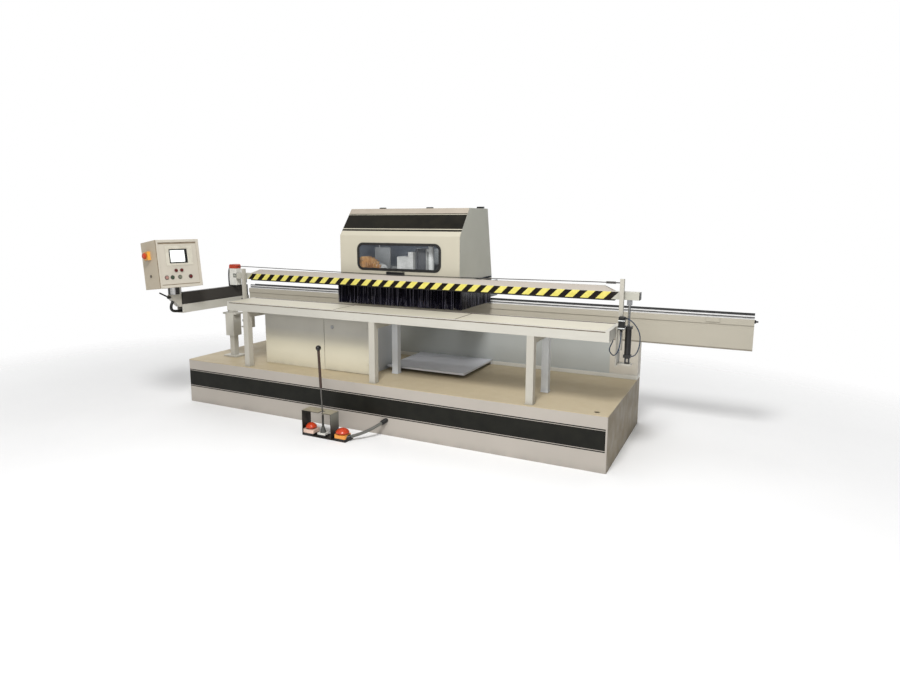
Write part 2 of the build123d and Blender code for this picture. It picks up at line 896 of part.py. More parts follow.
# Air cylinders that lift the clamp beam, bored for piston and rod
with BuildPart() as clamp_cylinders:
    cylinder_axis = (cylinder_x, clamp_middle_y)
    rod((*cylinder_axis, cylinder_bottom), cylinder_length, cylinder_diameter)
    head_heights = (cylinder_bottom, cylinder_bottom + cylinder_length - cylinder_head_height)
    for head_z in head_heights:
        with Locations((*cylinder_axis, head_z)):
            Box(
                cylinder_head,
                cylinder_head,
                cylinder_head_height,
                align=(Align.CENTER, Align.CENTER, Align.MIN),
            )
    with Locations((*cylinder_axis, shelf_top)):
        Box(
            clevis_width,
            clevis_width,
            cylinder_bottom - shelf_top,
            align=(Align.CENTER, Align.CENTER, Align.MIN),
        )
    slot_low = (cylinder_x - fork_slot / 2, clamp_middle_y - clevis_width, shelf_top + fork_margin)
    slot_high = (cylinder_x + fork_slot / 2, clamp_middle_y + clevis_width, cylinder_bottom - fork_margin)
    block(slot_low, slot_high, Mode.SUBTRACT)
    bore_bottom = cylinder_bottom + cylinder_head_height
    bore_length = cylinder_length - 2 * cylinder_head_height
    bore_diameter = piston_diameter + 2 * running_clearance
    rod((*cylinder_axis, bore_bottom), bore_length, bore_diameter, mode=Mode.SUBTRACT)
    rod_bore = piston_rod_diameter + 2 * running_clearance
    rod((*cylinder_axis, bore_bottom), cylinder_length, rod_bore, mode=Mode.SUBTRACT)
    mirror(about=table_mirror)
save(clamp_cylinders, "clamp_cylinders")

# Piston rods with their pistons and the blocks bolted under the beam
with BuildPart() as piston_rods:
    piston_top = bore_bottom + bore_length - piston_end_gap
    rod((*cylinder_axis, piston_top - piston_thickness), piston_thickness, piston_diameter)
    rod((*cylinder_axis, piston_top), clamp_bottom - piston_top, piston_rod_diameter)
    with Locations((*cylinder_axis, clamp_bottom - clevis_height)):
        Box(clevis_width, clevis_width, clevis_height, align=(Align.CENTER, Align.CENTER, Align.MIN))
    mirror(about=table_mirror)
save(piston_rods, "piston_rods")

# Clamp beam: a tube with a sloped sheet cover on top, cut at a slant at both ends
cover_left = table_left + cover_inset
cover_right = table_right - cover_inset
with BuildPart() as clamp_beam:
    with BuildSketch(Plane.YZ.offset(clamp_left)):
        with Locations((clamp_middle_y, (clamp_bottom + clamp_top) / 2)):
            Rectangle(clamp_depth, clamp_tube_height)
            Rectangle(clamp_depth - 2 * clamp_wall, clamp_tube_height - 2 * clamp_wall, mode=Mode.SUBTRACT)
    extrude(amount=clamp_right - clamp_left)
    with BuildSketch(Plane.YZ.offset(cover_left)):
        with BuildLine():
            Polyline(
                (clamp_front, clamp_top),
                (clamp_front + clamp_cover_slope, clamp_top + clamp_cover_rise),
                (clamp_rear, clamp_top + clamp_cover_rise),
                (clamp_rear, clamp_top),
                close=True,
            )
        make_face()
        offset(amount=-clamp_wall, mode=Mode.SUBTRACT)
    extrude(amount=cover_right - cover_left)
    for end_x, inward in ((cover_left, 1), (cover_right, -1)):
        with BuildSketch(Plane.XZ.offset(-clamp_rear)):
            with BuildLine():
                Polyline(
                    (end_x, clamp_top),
                    (end_x + inward * cover_end_slope, clamp_top + clamp_cover_rise),
                    (end_x, clamp_top + clamp_cover_rise),
                    close=True,
                )
            make_face()
        extrude(amount=clamp_depth, mode=Mode.SUBTRACT)
save(clamp_beam, "clamp_beam")

# Rubber pad along the beam's underside
with BuildPart() as clamp_pad:
    pad_low = (cover_left, clamp_middle_y - pad_width / 2, clamp_bottom - pad_thickness)
    block(pad_low, (cover_right, clamp_middle_y + pad_width / 2, clamp_bottom))
    fillet(clamp_pad.edges().filter_by(Axis.X).group_by(Axis.Z)[0], pad_thickness / 3)
save(clamp_pad, "clamp_pad")

# Plastic caps on the beam's ends
with BuildPart() as beam_caps:
    block((clamp_right, clamp_front, clamp_bottom), (clamp_right + clamp_cap_thickness, clamp_rear, clamp_top))
    fillet(beam_caps.edges().group_by(Axis.X)[-1], clamp_cap_thickness / 2)
    mirror(about=table_mirror)
save(beam_caps, "beam_caps")

# Pull-rope switch standing on the panel arm's fence, with its rounded rope head
switch_left = arm_x + switch_shift - switch_width / 2
switch_head_right = switch_left + switch_cap_width
with BuildPart() as rope_switch:
    switch_low = (switch_left, rope_y - switch_depth / 2, switch_bottom)
    block(switch_low, (switch_left + switch_width, rope_y + switch_depth / 2, switch_top))
    fillet(rope_switch.edges().filter_by(Axis.Z), switch_depth / 12)
    head_low = (switch_left, rope_y - switch_depth / 2, switch_top)
    block(head_low, (switch_head_right, rope_y + switch_depth / 2, switch_top + switch_cap_height))
    head_edges = rope_switch.edges().filter_by(Axis.Y).group_by(Axis.Z)[-1]
    fillet(head_edges, switch_cap_height / 2.4)
save(rope_switch, "rope_switch")

# Pull rope with its turnbuckle and the hook in the right post's lug
with BuildPart() as pull_rope:
    post_face = table_right + stand_plate
    turnbuckle_right = post_face - turnbuckle_inset
    turnbuckle_left = turnbuckle_right - turnbuckle_length
    rope_right = turnbuckle_left + turnbuckle_length / 4
    rope_points = [
        (switch_head_right, rope_y, rope_height),
        (switch_head_right + rope_lead_in, rope_y, rope_height),
        ((switch_head_right + rope_right) / 2, rope_y, rope_height - rope_sag),
        (rope_right - rope_lead_in, rope_y, rope_height),
        (rope_right, rope_y, rope_height),
    ]
    add(tube_along(rope_points, rope_diameter, cord_radii(rope_points), rope_side_count).part)
    rod((turnbuckle_left, rope_y, rope_height), turnbuckle_length, turnbuckle_diameter, ALONG_X)
    rod((turnbuckle_right, rope_y, rope_height), turnbuckle_inset, hook_diameter, ALONG_X)
save(pull_rope, "pull_rope")

# Column under the panel arm: foot plate, tube, sleeve and head flange
with BuildPart() as panel_column:
    column_steps = [
        (column_foot_x, column_foot_y, base_height, column_foot_thickness),
        (column_tube, column_tube, base_height, column_tube_top - base_height),
        (column_sleeve, column_sleeve, column_tube_top, column_sleeve_top - column_tube_top),
        (column_flange, column_sleeve, column_sleeve_top, column_flange_thickness),
        (column_neck, column_neck, column_sleeve_top, arm_bottom - column_sleeve_top),
    ]
    for step_x, step_y, step_z, step_height in column_steps:
        with Locations((arm_x, column_y, step_z)):
            Box(step_x, step_y, step_height, align=(Align.CENTER, Align.CENTER, Align.MIN))
save(panel_column, "panel_column")

# Panel arm: a tube at table height, with the bracket before its end that carries the swivel post
lever_plane = Plane(origin=(arm_x, bracket_front, lever_height), x_dir=(1, 0, 0), z_dir=(0, -1, 0))
with BuildPart() as panel_arm:
    with BuildSketch(Plane.XZ.offset(-arm_rear)):
        with Locations((arm_x, (arm_bottom + table_height) / 2)):
            Rectangle(arm_width, arm_height)
            Rectangle(arm_width - 2 * arm_sheet, arm_height - 2 * arm_sheet, mode=Mode.SUBTRACT)
    extrude(amount=arm_rear - arm_front)
    with BuildSketch(Plane.YZ.offset(arm_x - bracket_width / 2)):
        with BuildLine():
            Polyline(
                (arm_front, bracket_top),
                (bracket_front, bracket_top),
                (bracket_front, bracket_top - bracket_nose),
                (arm_front - bracket_root, bracket_bottom),
                (arm_front, bracket_bottom),
                close=True,
            )
        make_face()
    extrude(amount=bracket_width)
    rod((arm_x, neck_y, lever_height), neck_top - lever_height, neck_diameter)
    with BuildSketch(lever_plane):
        Circle(lever_stud_diameter / 2 + running_clearance)
    extrude(amount=-(lever_stud_inside + shaft_end_gap), mode=Mode.SUBTRACT)
save(panel_arm, "panel_arm")

# Dark fence channel on the arm
with BuildPart() as arm_fence:
    with BuildSketch(Plane.XZ.offset(-arm_rear)):
        with Locations((arm_x, table_height + fence_height / 2)):
            Rectangle(fence_width, fence_height)
            Rectangle(fence_width - 2 * fence_sheet, fence_height - 2 * fence_sheet, mode=Mode.SUBTRACT)
    extrude(amount=arm_rear - fence_front)
save(arm_fence, "arm_fence")

# Panel directions: its width, its front normal and its leaning height
turned = Plane((arm_x, neck_y, panel_bottom)).rotated((0, 0, panel_turn))
panel_foot = turned.from_local_coords((0, -panel_reach, 0))
panel_normal = (-turned.y_dir).rotate(Axis((0, 0, 0), turned.x_dir), -panel_lean)
front_plane = Plane(origin=panel_foot, x_dir=turned.x_dir, z_dir=panel_normal)

# Control panel box: open at the front, with the swivel hub under it
with BuildPart() as panel_box:
    with BuildSketch(front_plane):
        with Locations((0, panel_height / 2)):
            Rectangle(panel_width, panel_height)
    extrude(amount=-panel_depth)
    with BuildSketch(front_plane):
        with Locations((0, panel_height / 2)):
            Rectangle(panel_width - 2 * panel_sheet, panel_height - 2 * panel_sheet)
    extrude(amount=-(panel_depth - panel_sheet), mode=Mode.SUBTRACT)
    hub_reach = panel_bottom - hub_bottom
    rod((arm_x, neck_y, hub_bottom), hub_reach, hub_diameter)
    with BuildSketch(front_plane):
        with Locations((0, panel_height / 2)):
            Rectangle(panel_width - 2 * panel_sheet, panel_height - 2 * panel_sheet)
    extrude(amount=-(panel_depth - panel_sheet), mode=Mode.SUBTRACT)
    socket_depth = neck_engagement + shaft_end_gap
    socket_diameter = neck_diameter + 2 * running_clearance
    rod((arm_x, neck_y, hub_bottom), socket_depth, socket_diameter, mode=Mode.SUBTRACT)
    estop_side = Plane(
        origin=front_plane.from_local_coords((-panel_width / 2, estop_height, -panel_depth / 2)),
        x_dir=front_plane.y_dir,
        z_dir=-front_plane.x_dir,
    )
    with BuildSketch(estop_side):
        Circle(estop_stem_diameter / 2 + running_clearance)
    extrude(amount=-panel_sheet, mode=Mode.SUBTRACT)
    with BuildSketch(front_plane):
        with Locations((0, panel_height / 2)):
            Rectangle(panel_width, panel_height)
    extrude(amount=panel_front_thickness)
    with BuildSketch(front_plane.offset(panel_front_thickness)):
        with Locations((0, panel_height / 2)):
            Rectangle(panel_width - 2 * panel_border, panel_height - 2 * panel_border)
    extrude(amount=-panel_recess, mode=Mode.SUBTRACT)
    with BuildSketch(front_plane):
        for button_x in button_spots.values():
            with Locations((button_x, lower_button_height)):
                Circle(button_diameter / 2 + running_clearance)
    extrude(amount=panel_front_thickness, mode=Mode.SUBTRACT)
save(panel_box, "panel_box")

# Fittings on the panel: screen bezel, screen, two lamps, emergency-stop base and side lock
fitting_plane = front_plane.offset(panel_front_thickness - panel_recess)
bezel_y = panel_height - bezel_drop - bezel_height / 2
with BuildPart() as panel_fittings:
    with BuildSketch(fitting_plane):
        with Locations((bezel_shift, bezel_y)):
            RectangleRounded(bezel_width, bezel_height, bezel_thickness)
            with Locations((screen_shift, 0)):
                Rectangle(screen_width, screen_height, mode=Mode.SUBTRACT)
    extrude(amount=bezel_thickness)
    with BuildSketch(fitting_plane):
        with Locations((bezel_shift + screen_shift, bezel_y)):
            Rectangle(screen_width - 2 * press_gap, screen_height - 2 * press_gap)
    extrude(amount=bezel_thickness / 2)
    with BuildSketch(fitting_plane):
        for lamp_x in (lamp_left_x, lamp_right_x):
            with Locations((lamp_x, upper_button_height)):
                Circle(button_diameter / 2)
    extrude(amount=button_proud)
    with BuildSketch(estop_side):
        Rectangle(estop_base_size, estop_base_size)
        Circle(estop_stem_diameter / 2 + running_clearance, mode=Mode.SUBTRACT)
    extrude(amount=estop_base_thickness)
    with BuildSketch(estop_side):
        with Locations((side_lock_height - estop_height, 0)):
            Circle(side_lock_diameter / 2)
    extrude(amount=side_lock_thickness)
save(panel_fittings, "panel_fittings")

# Push buttons in the panel front
for button_name, button_x in button_spots.items():
    with BuildPart() as push_button:
        with BuildSketch(fitting_plane.offset(-button_inside)):
            with Locations((button_x, lower_button_height)):
                Circle(button_diameter / 2)
        extrude(amount=button_inside + button_proud)
        cap_edges = push_button.edges().sort_by_distance(fitting_plane.from_local_coords((button_x, 0, 99)))
        chamfer(cap_edges.filter_by(GeomType.CIRCLE)[0], button_proud / 4)
    save(push_button, button_name)

# Emergency-stop mushroom and its stem
with BuildPart() as estop_button:
    with BuildSketch(estop_side.offset(-estop_stem_inside)):
        Circle(estop_stem_diameter / 2)
    extrude(amount=estop_stem_inside + estop_base_thickness + estop_travel_gap)
    with BuildSketch(estop_side.offset(estop_base_thickness + estop_travel_gap)):
        Circle(estop_head_diameter / 2)
    extrude(amount=estop_head_thickness)
    far_point = estop_side.from_local_coords((0, 0, 999))
    head_edges = estop_button.edges().filter_by(GeomType.CIRCLE).sort_by_distance(far_point)
    chamfer(head_edges[0], estop_head_thickness / 2.5)
save(estop_button, "estop_button")

# Clamp lever that locks the panel's swivel post in the bracket
with BuildPart() as clamp_lever:
    with BuildSketch(lever_plane.offset(-lever_stud_inside)):
        Circle(lever_stud_diameter / 2)
    extrude(amount=lever_stud_inside + lever_hub_length)
    with BuildSketch(lever_plane.offset(curved_gap)):
        Circle(lever_hub_diameter / 2)
    extrude(amount=lever_hub_length)
    lever_centre = lever_plane.from_local_coords((0, 0, curved_gap + lever_hub_length / 2))
    lever_way = (-cos(radians(lever_tilt)), 0, sin(radians(lever_tilt)))
    with BuildSketch(Plane(origin=lever_centre, z_dir=lever_way)):
        Circle(lever_diameter / 2)
    extrude(amount=lever_length)
save(clamp_lever, "clamp_lever")

# Foot switch: floor plate with the open guard over the left pedal
with BuildPart() as foot_guard:
    foot_rear = foot_front + foot_depth
    block((foot_left, foot_front, 0), (foot_right, foot_rear, foot_plate))
    guard_right = foot_left + guard_width
    for wall_x in (foot_left, guard_right - guard_sheet):
        block((wall_x, foot_front, 0), (wall_x + guard_sheet, foot_rear, guard_height))
    block((foot_left, foot_front, guard_height - guard_sheet), (guard_right, foot_rear, guard_height))
    notch_low = (rod_x - guard_notch / 2, foot_front, guard_height - guard_sheet)
    block(notch_low, (rod_x + guard_notch / 2, rod_y + guard_notch / 2, guard_height), Mode.SUBTRACT)
save(foot_guard, "foot_guard")

# Switch blocks of the two pedals, and the block and boot that hold the carrying rod
with BuildPart() as foot_blocks:
    base_top = foot_plate + pedal_base_height
    for pedal_x in (left_pedal_x, right_pedal_x):
        base_low = (pedal_x - pedal_base_width / 2, pedal_y - pedal_base_depth / 2, foot_plate)
        block(base_low, (pedal_x + pedal_base_width / 2, pedal_y + pedal_base_depth / 2, base_top))
    fillet(foot_blocks.edges().filter_by(Axis.Z), pedal_base_depth / 10)
    for pedal_x in (left_pedal_x, right_pedal_x):
        stem_bore = pedal_stem_diameter + 2 * running_clearance
        bore_start = (pedal_x, pedal_y, foot_plate + pedal_block_floor)
        rod(bore_start, pedal_base_height, stem_bore, mode=Mode.SUBTRACT)
    block_low = (rod_x - rod_block_width / 2, rod_y - rod_block_depth / 2, foot_plate)
    block(block_low, (rod_x + rod_block_width / 2, rod_y + rod_block_depth / 2, foot_plate + rod_block_height))
    boot_bottom = foot_plate + rod_block_height
    with Locations((rod_x, rod_y, boot_bottom)):
        Cone(
            boot_bottom_diameter / 2,
            rod_sleeve_diameter / 2 + boot_lip,
            boot_height,
            align=(Align.CENTER, Align.CENTER, Align.MIN),
        )
save(foot_blocks, "foot_blocks")

# Foot buttons: a dome on a stem that slides in its block
for pedal_name, pedal_x, dome_diameter in (
    ("pedal_left", left_pedal_x, left_dome_diameter),
    ("pedal_right", right_pedal_x, right_dome_diameter),
):
    with BuildPart() as pedal:
        dome_bottom = base_top + pedal_travel_gap
        cap_height = dome_height - dome_skirt
        cap_radius = (dome_diameter**2 / 4 + cap_height**2) / (2 * cap_height)
        dome_points = []
        for band in range(dome_band_count + 1):
            spread = asin(dome_diameter / 2 / cap_radius) * (1 - band / dome_band_count)
            drop = cap_radius * (1 - cos(spread))
            dome_points.append((pedal_x + cap_radius * sin(spread), dome_bottom + dome_height - drop))
        with BuildSketch(Plane.XZ.offset(-pedal_y)):
            with BuildLine():
                Polyline(
                    (pedal_x, dome_bottom + dome_height),
                    (pedal_x, base_top - pedal_stem_inside),
                    (pedal_x + pedal_stem_diameter / 2, base_top - pedal_stem_inside),
                    (pedal_x + pedal_stem_diameter / 2, dome_bottom),
                    (pedal_x + dome_diameter / 2, dome_bottom),
                    *dome_points,
                )
            make_face()
        revolve(axis=Axis((pedal_x, pedal_y, 0), (0, 0, 1)))
    save(pedal, pedal_name)

# Carrying rod: an upright sleeve, and the leaning rod with its grip and ball
rod_bottom = boot_bottom + boot_height
lean_way = (-sin(radians(rod_lean)), 0, cos(radians(rod_lean)))
with BuildPart() as carry_rod:
    rod((rod_x, rod_y, rod_bottom), rod_sleeve_length, rod_sleeve_diameter)
    lean_foot = Plane(origin=(rod_x, rod_y, rod_bottom + rod_sleeve_length / 2), z_dir=lean_way)
    for start_height, stop_height, width in (
        (lean_foot.origin.Z, rod_top, rod_diameter),
        (rod_grip_bottom, rod_top, rod_grip_diameter),
    ):
        with BuildSketch(lean_foot.offset(start_height - lean_foot.origin.Z)):
            Circle(width / 2)
        extrude(amount=stop_height - start_height)
    with Locations(lean_foot.offset(rod_top + ball_diameter / 2 - ball_sink - lean_foot.origin.Z)):
        Sphere(ball_diameter / 2)
save(carry_rod, "carry_rod")


def gland(mouth, direction, wall):
    """A fitting round the conduit's end that runs back to the wall it is screwed into."""
    with BuildPart() as fitting:
        with BuildSketch(Plane(origin=mouth, z_dir=direction)):
            Circle(gland_diameter / 2)
        extrude(amount=4 * gland_length)
        split(bisect_by=wall, keep=Keep.TOP)
    return fitting


# Conduit hose: bows gently from the right switch block up to the base's front
conduit_face = Plane.YZ.offset(right_pedal_x + pedal_base_width / 2)
conduit_wall = Plane.XZ.offset(-base_front)
conduit_start_x = conduit_face.origin.X + gland_length
conduit_start = Vector(conduit_start_x, pedal_y + pedal_base_depth / 5, conduit_exit_height)
conduit_span = Vector(conduit_inlet_x, base_front - 2 * gland_length, conduit_inlet_height) - conduit_start
conduit_side = Vector(conduit_span.Y, -conduit_span.X, 0).normalized() * conduit_bow - Vector(0, 0, conduit_sag)
conduit_points = []
for step in range(conduit_runs + 1):
    share = step / conduit_runs
    conduit_points.append(conduit_start + conduit_span * share + conduit_side * sin(pi * share))
conduit_radii = cord_radii(conduit_points)
print("conduit points", [tuple(round(value, 3) for value in point) for point in conduit_points])
print("conduit radii", [round(radius) for radius in conduit_radii])
conduit_hose = tube_along(conduit_points, conduit_diameter, conduit_radii)
save(conduit_hose, "conduit_hose")

# Conduit glands on the switch block and on the base
conduit_fittings = [
    gland(conduit_points[0], conduit_points[0] - conduit_points[1], conduit_face),
    gland(conduit_points[-1], conduit_points[-1] - conduit_points[-2], conduit_wall),
]
with BuildPart() as conduit_glands:
    for fitting in conduit_fittings:
        add(fitting.part)
save(conduit_glands, "conduit_glands")

# Carriage saddle: plate on the bearing blocks, two cheeks forward and the motor bracket
saddle_front = front_rail_y - block_width / 2 - saddle_overhang
saddle_rear = rear_rail_y + block_width / 2 + saddle_overhang
frame_left = hood_left + side_clearance
frame_right = hood_right - side_clearance
pulley_z = belt_top + curved_gap + pulley_diameter / 2
with BuildPart() as carriage_saddle:
    block((frame_left, saddle_front, saddle_bottom), (frame_right, saddle_rear, saddle_top))
    for cheek_x in (frame_left, frame_right - cheek_thickness):
        with BuildSketch(Plane.YZ.offset(cheek_x)):
            with BuildLine():
                Polyline(
                    (saddle_rear, saddle_bottom),
                    (saddle_rear, frame_bottom),
                    (cheek_front, frame_bottom),
                    (cheek_front, frame_bottom - cheek_tip),
                    (saddle_front - saddle_overhang * 10, frame_bottom - cheek_throat),
                    (saddle_front, saddle_bottom),
                    close=True,
                )
            make_face()
        extrude(amount=cheek_thickness)
    slot_low = (hood_middle - pulley_slot_length / 2, belt_y - pulley_slot_width / 2, saddle_bottom)
    slot_high = (hood_middle + pulley_slot_length / 2, belt_y + pulley_slot_width / 2, saddle_top)
    block(slot_low, slot_high, Mode.SUBTRACT)
    bracket_half = motor_bracket_width / 2
    bracket_low = (hood_middle - bracket_half, saddle_rear - motor_bracket, rail_beam_top + block_lift)
    bracket_high = (hood_middle + bracket_half, saddle_rear, saddle_top + bracket_half / 2)
    block(bracket_low, bracket_high)
    shaft_hole = (hood_middle, saddle_rear - motor_bracket, pulley_z)
    rod(shaft_hole, motor_bracket, pulley_shaft_diameter + 2 * curved_gap, ALONG_Y, Mode.SUBTRACT)
save(carriage_saddle, "carriage_saddle")

# Bearing blocks: open bearings round the shafts, slotted for the stems
with BuildPart() as bearing_blocks:
    for rail_y in (front_rail_y, rear_rail_y):
        with Locations((hood_middle, rail_y, block_bottom)):
            with GridLocations(2 * block_spread, 0, 2, 1):
                Box(block_length, block_width, block_height, align=(Align.CENTER, Align.CENTER, Align.MIN))
    for rail_y in (front_rail_y, rear_rail_y):
        bore_start = (hood_middle - block_spread - block_length, rail_y, shaft_z)
        bore_length_x = 2 * (block_spread + block_length)
        rod(bore_start, bore_length_x, shaft_diameter + 2 * running_clearance, ALONG_X, Mode.SUBTRACT)
        slot_half = rail_stem / 2 + slot_clearance
        stem_low = (bore_start[0], rail_y - slot_half, block_bottom)
        block(stem_low, (bore_start[0] + bore_length_x, rail_y + slot_half, shaft_z), Mode.SUBTRACT)
save(bearing_blocks, "bearing_blocks")

# Drive motor behind the saddle and the pulley that rolls along the belt
with BuildPart() as drive_motor:
    rod((hood_middle, saddle_rear, pulley_z), drive_motor_length, drive_motor_diameter, ALONG_Y)
    chamfer(drive_motor.edges().group_by(Axis.Y)[-1], drive_motor_diameter / 12)
    gearbox_low = (hood_middle - drive_motor_diameter / 2, saddle_rear, pulley_z)
    gearbox_high = (
        hood_middle + drive_motor_diameter / 2,
        saddle_rear + drive_motor_length / 3,
        pulley_z + drive_motor_diameter * 0.7,
    )
    block(gearbox_low, gearbox_high)
    bore = pulley_shaft_diameter + 2 * running_clearance
    rod((hood_middle, saddle_rear, pulley_z), shaft_engagement, bore, ALONG_Y, Mode.SUBTRACT)
save(drive_motor, "drive_motor")

with BuildPart() as drive_pulley:
    rod((hood_middle, belt_y - pulley_width / 2, pulley_z), pulley_width, pulley_diameter, ALONG_Y)
    shaft_length = saddle_rear + shaft_engagement - shaft_end_gap - belt_y
    rod((hood_middle, belt_y, pulley_z), shaft_length, pulley_shaft_diameter, ALONG_Y)
save(drive_pulley, "drive_pulley")

# Hood back: the carriage's top frame with the leaning rear wall and the hinge pins
frame_front = hood_front + side_clearance
lean_slope = (hood_rear_bottom - hood_top_rear) / (hood_top - frame_top)
hinge_axis_y = hood_top_rear + hood_hinge_back
hinge_axis_z = hood_top + hood_hinge_rise
back_top = hood_top - hood_hinge_barrel / 2
hood_hinge_xs = [hood_middle + side * hood_hinge_spread for side in (-1, 0, 1)]
with BuildPart() as hood_back:
    with BuildSketch(Plane.XY.offset(frame_bottom)):
        frame_centre_y = (frame_front + hood_rear_bottom) / 2
        frame_length_y = hood_rear_bottom - frame_front
        with Locations((hood_middle, frame_centre_y)):
            Rectangle(frame_right - frame_left, frame_length_y)
            Rectangle(
                frame_right - frame_left - 2 * frame_bar, frame_length_y - 2 * frame_bar, mode=Mode.SUBTRACT
            )
    extrude(amount=frame_bar)
    with BuildSketch(Plane.YZ.offset(frame_left)):
        with BuildLine():
            Polyline(
                (hood_rear_bottom - back_sheet, frame_top),
                (hood_rear_bottom, frame_top),
                (hood_top_rear + lean_slope * (hood_top - back_top), back_top),
                (hood_top_rear + lean_slope * (hood_top - back_top) - back_sheet, back_top),
                close=True,
            )
        make_face()
    extrude(amount=frame_right - frame_left)
    for knuckle_x in hood_hinge_xs:
        leaf_low = (knuckle_x - 1.5 * hood_knuckle, hood_top_rear, hinge_axis_z - 2.2 * hood_hinge_barrel)
        leaf_high = (knuckle_x + 1.5 * hood_knuckle, hinge_axis_y + hood_hinge_pin / 2, hinge_axis_z)
        block(leaf_low, leaf_high)
        hinge_start = (knuckle_x - 1.5 * hood_knuckle, hinge_axis_y, hinge_axis_z)
        rod(hinge_start, 3 * hood_knuckle, hood_hinge_barrel, ALONG_X)
        gap_bottom = hinge_axis_z - hood_hinge_barrel * 0.75
        gap_low = (knuckle_x - hood_knuckle / 2, hood_top_rear - hinge_relief, gap_bottom)
        gap_high = (knuckle_x + hood_knuckle / 2, hinge_axis_y + hinge_relief, hinge_axis_z + hinge_relief)
        block(gap_low, gap_high, Mode.SUBTRACT)
        rod(hinge_start, 3 * hood_knuckle, hood_hinge_pin, ALONG_X)
save(hood_back, "hood_back")

# Hood cover: front, slope, top and sides in one folded shell, open below and behind
slope_rear_bottom = hood_top_rear + lean_slope * (hood_top - hood_bottom)
cover_setback = back_sheet + back_gap
window_plane = Plane.XZ.offset(-hood_front)
with BuildPart() as hood_cover:
    with BuildSketch(Plane.YZ.offset(hood_left)):
        with BuildLine():
            Polyline(
                (hood_front, hood_bottom),
                (hood_front, hood_knee),
                (hood_top_front, hood_top),
                (hood_top_rear - cover_setback, hood_top),
                (slope_rear_bottom - cover_setback, hood_bottom),
                close=True,
            )
        make_face()
    extrude(amount=hood_right - hood_left)
    with BuildSketch(Plane.YZ.offset(hood_left + hood_sheet)):
        with BuildLine():
            Polyline(
                (hood_front, hood_bottom - 2 * hood_bottom_gap),
                (hood_front, hood_knee),
                (hood_top_front, hood_top),
                (hood_rear_bottom * 2, hood_top),
                (hood_rear_bottom * 2, hood_bottom - 2 * hood_bottom_gap),
                close=True,
            )
        make_face()
        offset(amount=-hood_sheet, kind=Kind.INTERSECTION, mode=Mode.REPLACE)
    extrude(amount=hood_right - hood_left - 2 * hood_sheet, mode=Mode.SUBTRACT)
    with BuildSketch(window_plane):
        with Locations((window_centre_x, window_centre_z)):
            RectangleRounded(window_width, window_height, window_corner)
    extrude(amount=-hood_sheet, mode=Mode.SUBTRACT)
    for knuckle_x in hood_hinge_xs:
        knuckle_length = hood_knuckle - 2 * curved_gap
        knuckle_start = (knuckle_x - knuckle_length / 2, hinge_axis_y, hinge_axis_z)
        leaf_low = (knuckle_start[0], hood_top_rear - 3 * hood_hinge_barrel, hood_top)
        leaf_high = (knuckle_start[0] + knuckle_length, hinge_axis_y, hood_top + hood_hinge_leaf)
        block(leaf_low, leaf_high)
        rod(knuckle_start, knuckle_length, hood_hinge_barrel, ALONG_X)
        pin_bore = hood_hinge_pin + 2 * running_clearance
        rod(knuckle_start, knuckle_length, pin_bore, ALONG_X, Mode.SUBTRACT)
save(hood_cover, "hood_cover")

# Window gasket: a flange in front of the cover and a lip through the cut-out
pane_width = window_width - 2 * gasket_lap
pane_height = window_height - 2 * gasket_lap
pane_corner = window_corner - gasket_lap
with BuildPart() as window_gasket:
    with BuildSketch(window_plane):
        with Locations((window_centre_x, window_centre_z)):
            RectangleRounded(
                window_width + 2 * gasket_lap,
                window_height + 2 * gasket_lap,
                window_corner + gasket_lap,
            )
            RectangleRounded(
                pane_width - gasket_lap,
                pane_height - gasket_lap,
                pane_corner - gasket_lap / 2,
                mode=Mode.SUBTRACT,
            )
    extrude(amount=gasket_thickness)
    with BuildSketch(window_plane):
        with Locations((window_centre_x, window_centre_z)):
            RectangleRounded(
                window_width - 2 * press_gap, window_height - 2 * press_gap, window_corner - press_gap
            )
            RectangleRounded(
                pane_width + 2 * press_gap,
                pane_height + 2 * press_gap,
                pane_corner + press_gap,
                mode=Mode.SUBTRACT,
            )
    extrude(amount=-pane_thickness)
save(window_gasket, "window_gasket")

# Window pane in the gasket
with BuildPart() as window_pane:
    with BuildSketch(window_plane):
        with Locations((window_centre_x, window_centre_z)):
            RectangleRounded(pane_width, pane_height, pane_corner)
    extrude(amount=-pane_thickness)
save(window_pane, "window_pane")

# Bar handle on the hood's front
with BuildPart() as hood_handle:
    with BuildSketch(Plane.XY.offset(handle_z - handle_height / 2)):
        with Locations((handle_x, hood_front - handle_reach / 2)):
            Rectangle(handle_width, handle_reach)
        with Locations((handle_x, hood_front - (handle_reach - handle_bar) / 2)):
            Rectangle(handle_width - 2 * handle_bar, handle_reach - handle_bar, mode=Mode.SUBTRACT)
    extrude(amount=handle_height)
    fillet(hood_handle.edges().filter_by(Axis.Z).group_by(Axis.Y)[0], handle_bar / 2)
save(hood_handle, "hood_handle")

# Brush holder: a strip along the hood's front and both sides
holder_top = frame_top - holder_top_drop
holder_bottom = holder_top - holder_height
side_brush_rear = wall_front - holder_thickness * 3
with BuildPart() as brush_holder:
    block(
        (frame_left - holder_thickness, frame_front - holder_thickness, holder_bottom),
        (frame_right + holder_thickness, frame_front, holder_top),
    )
    for strip_x in (frame_left - holder_thickness, frame_right):
        block(
            (strip_x, frame_front, holder_bottom),
            (strip_x + holder_thickness, side_brush_rear, holder_top),
        )
save(brush_holder, "brush_holder")

# Bristle curtains: rows of straight strands under a slice of backing
backing_bottom = holder_bottom - backing_height
front_brush_y = frame_front - holder_thickness / 2
front_brush_length = frame_right - frame_left + 2 * holder_thickness
side_brush_length = side_brush_rear - frame_front
side_brush_y = (side_brush_rear + frame_front) / 2


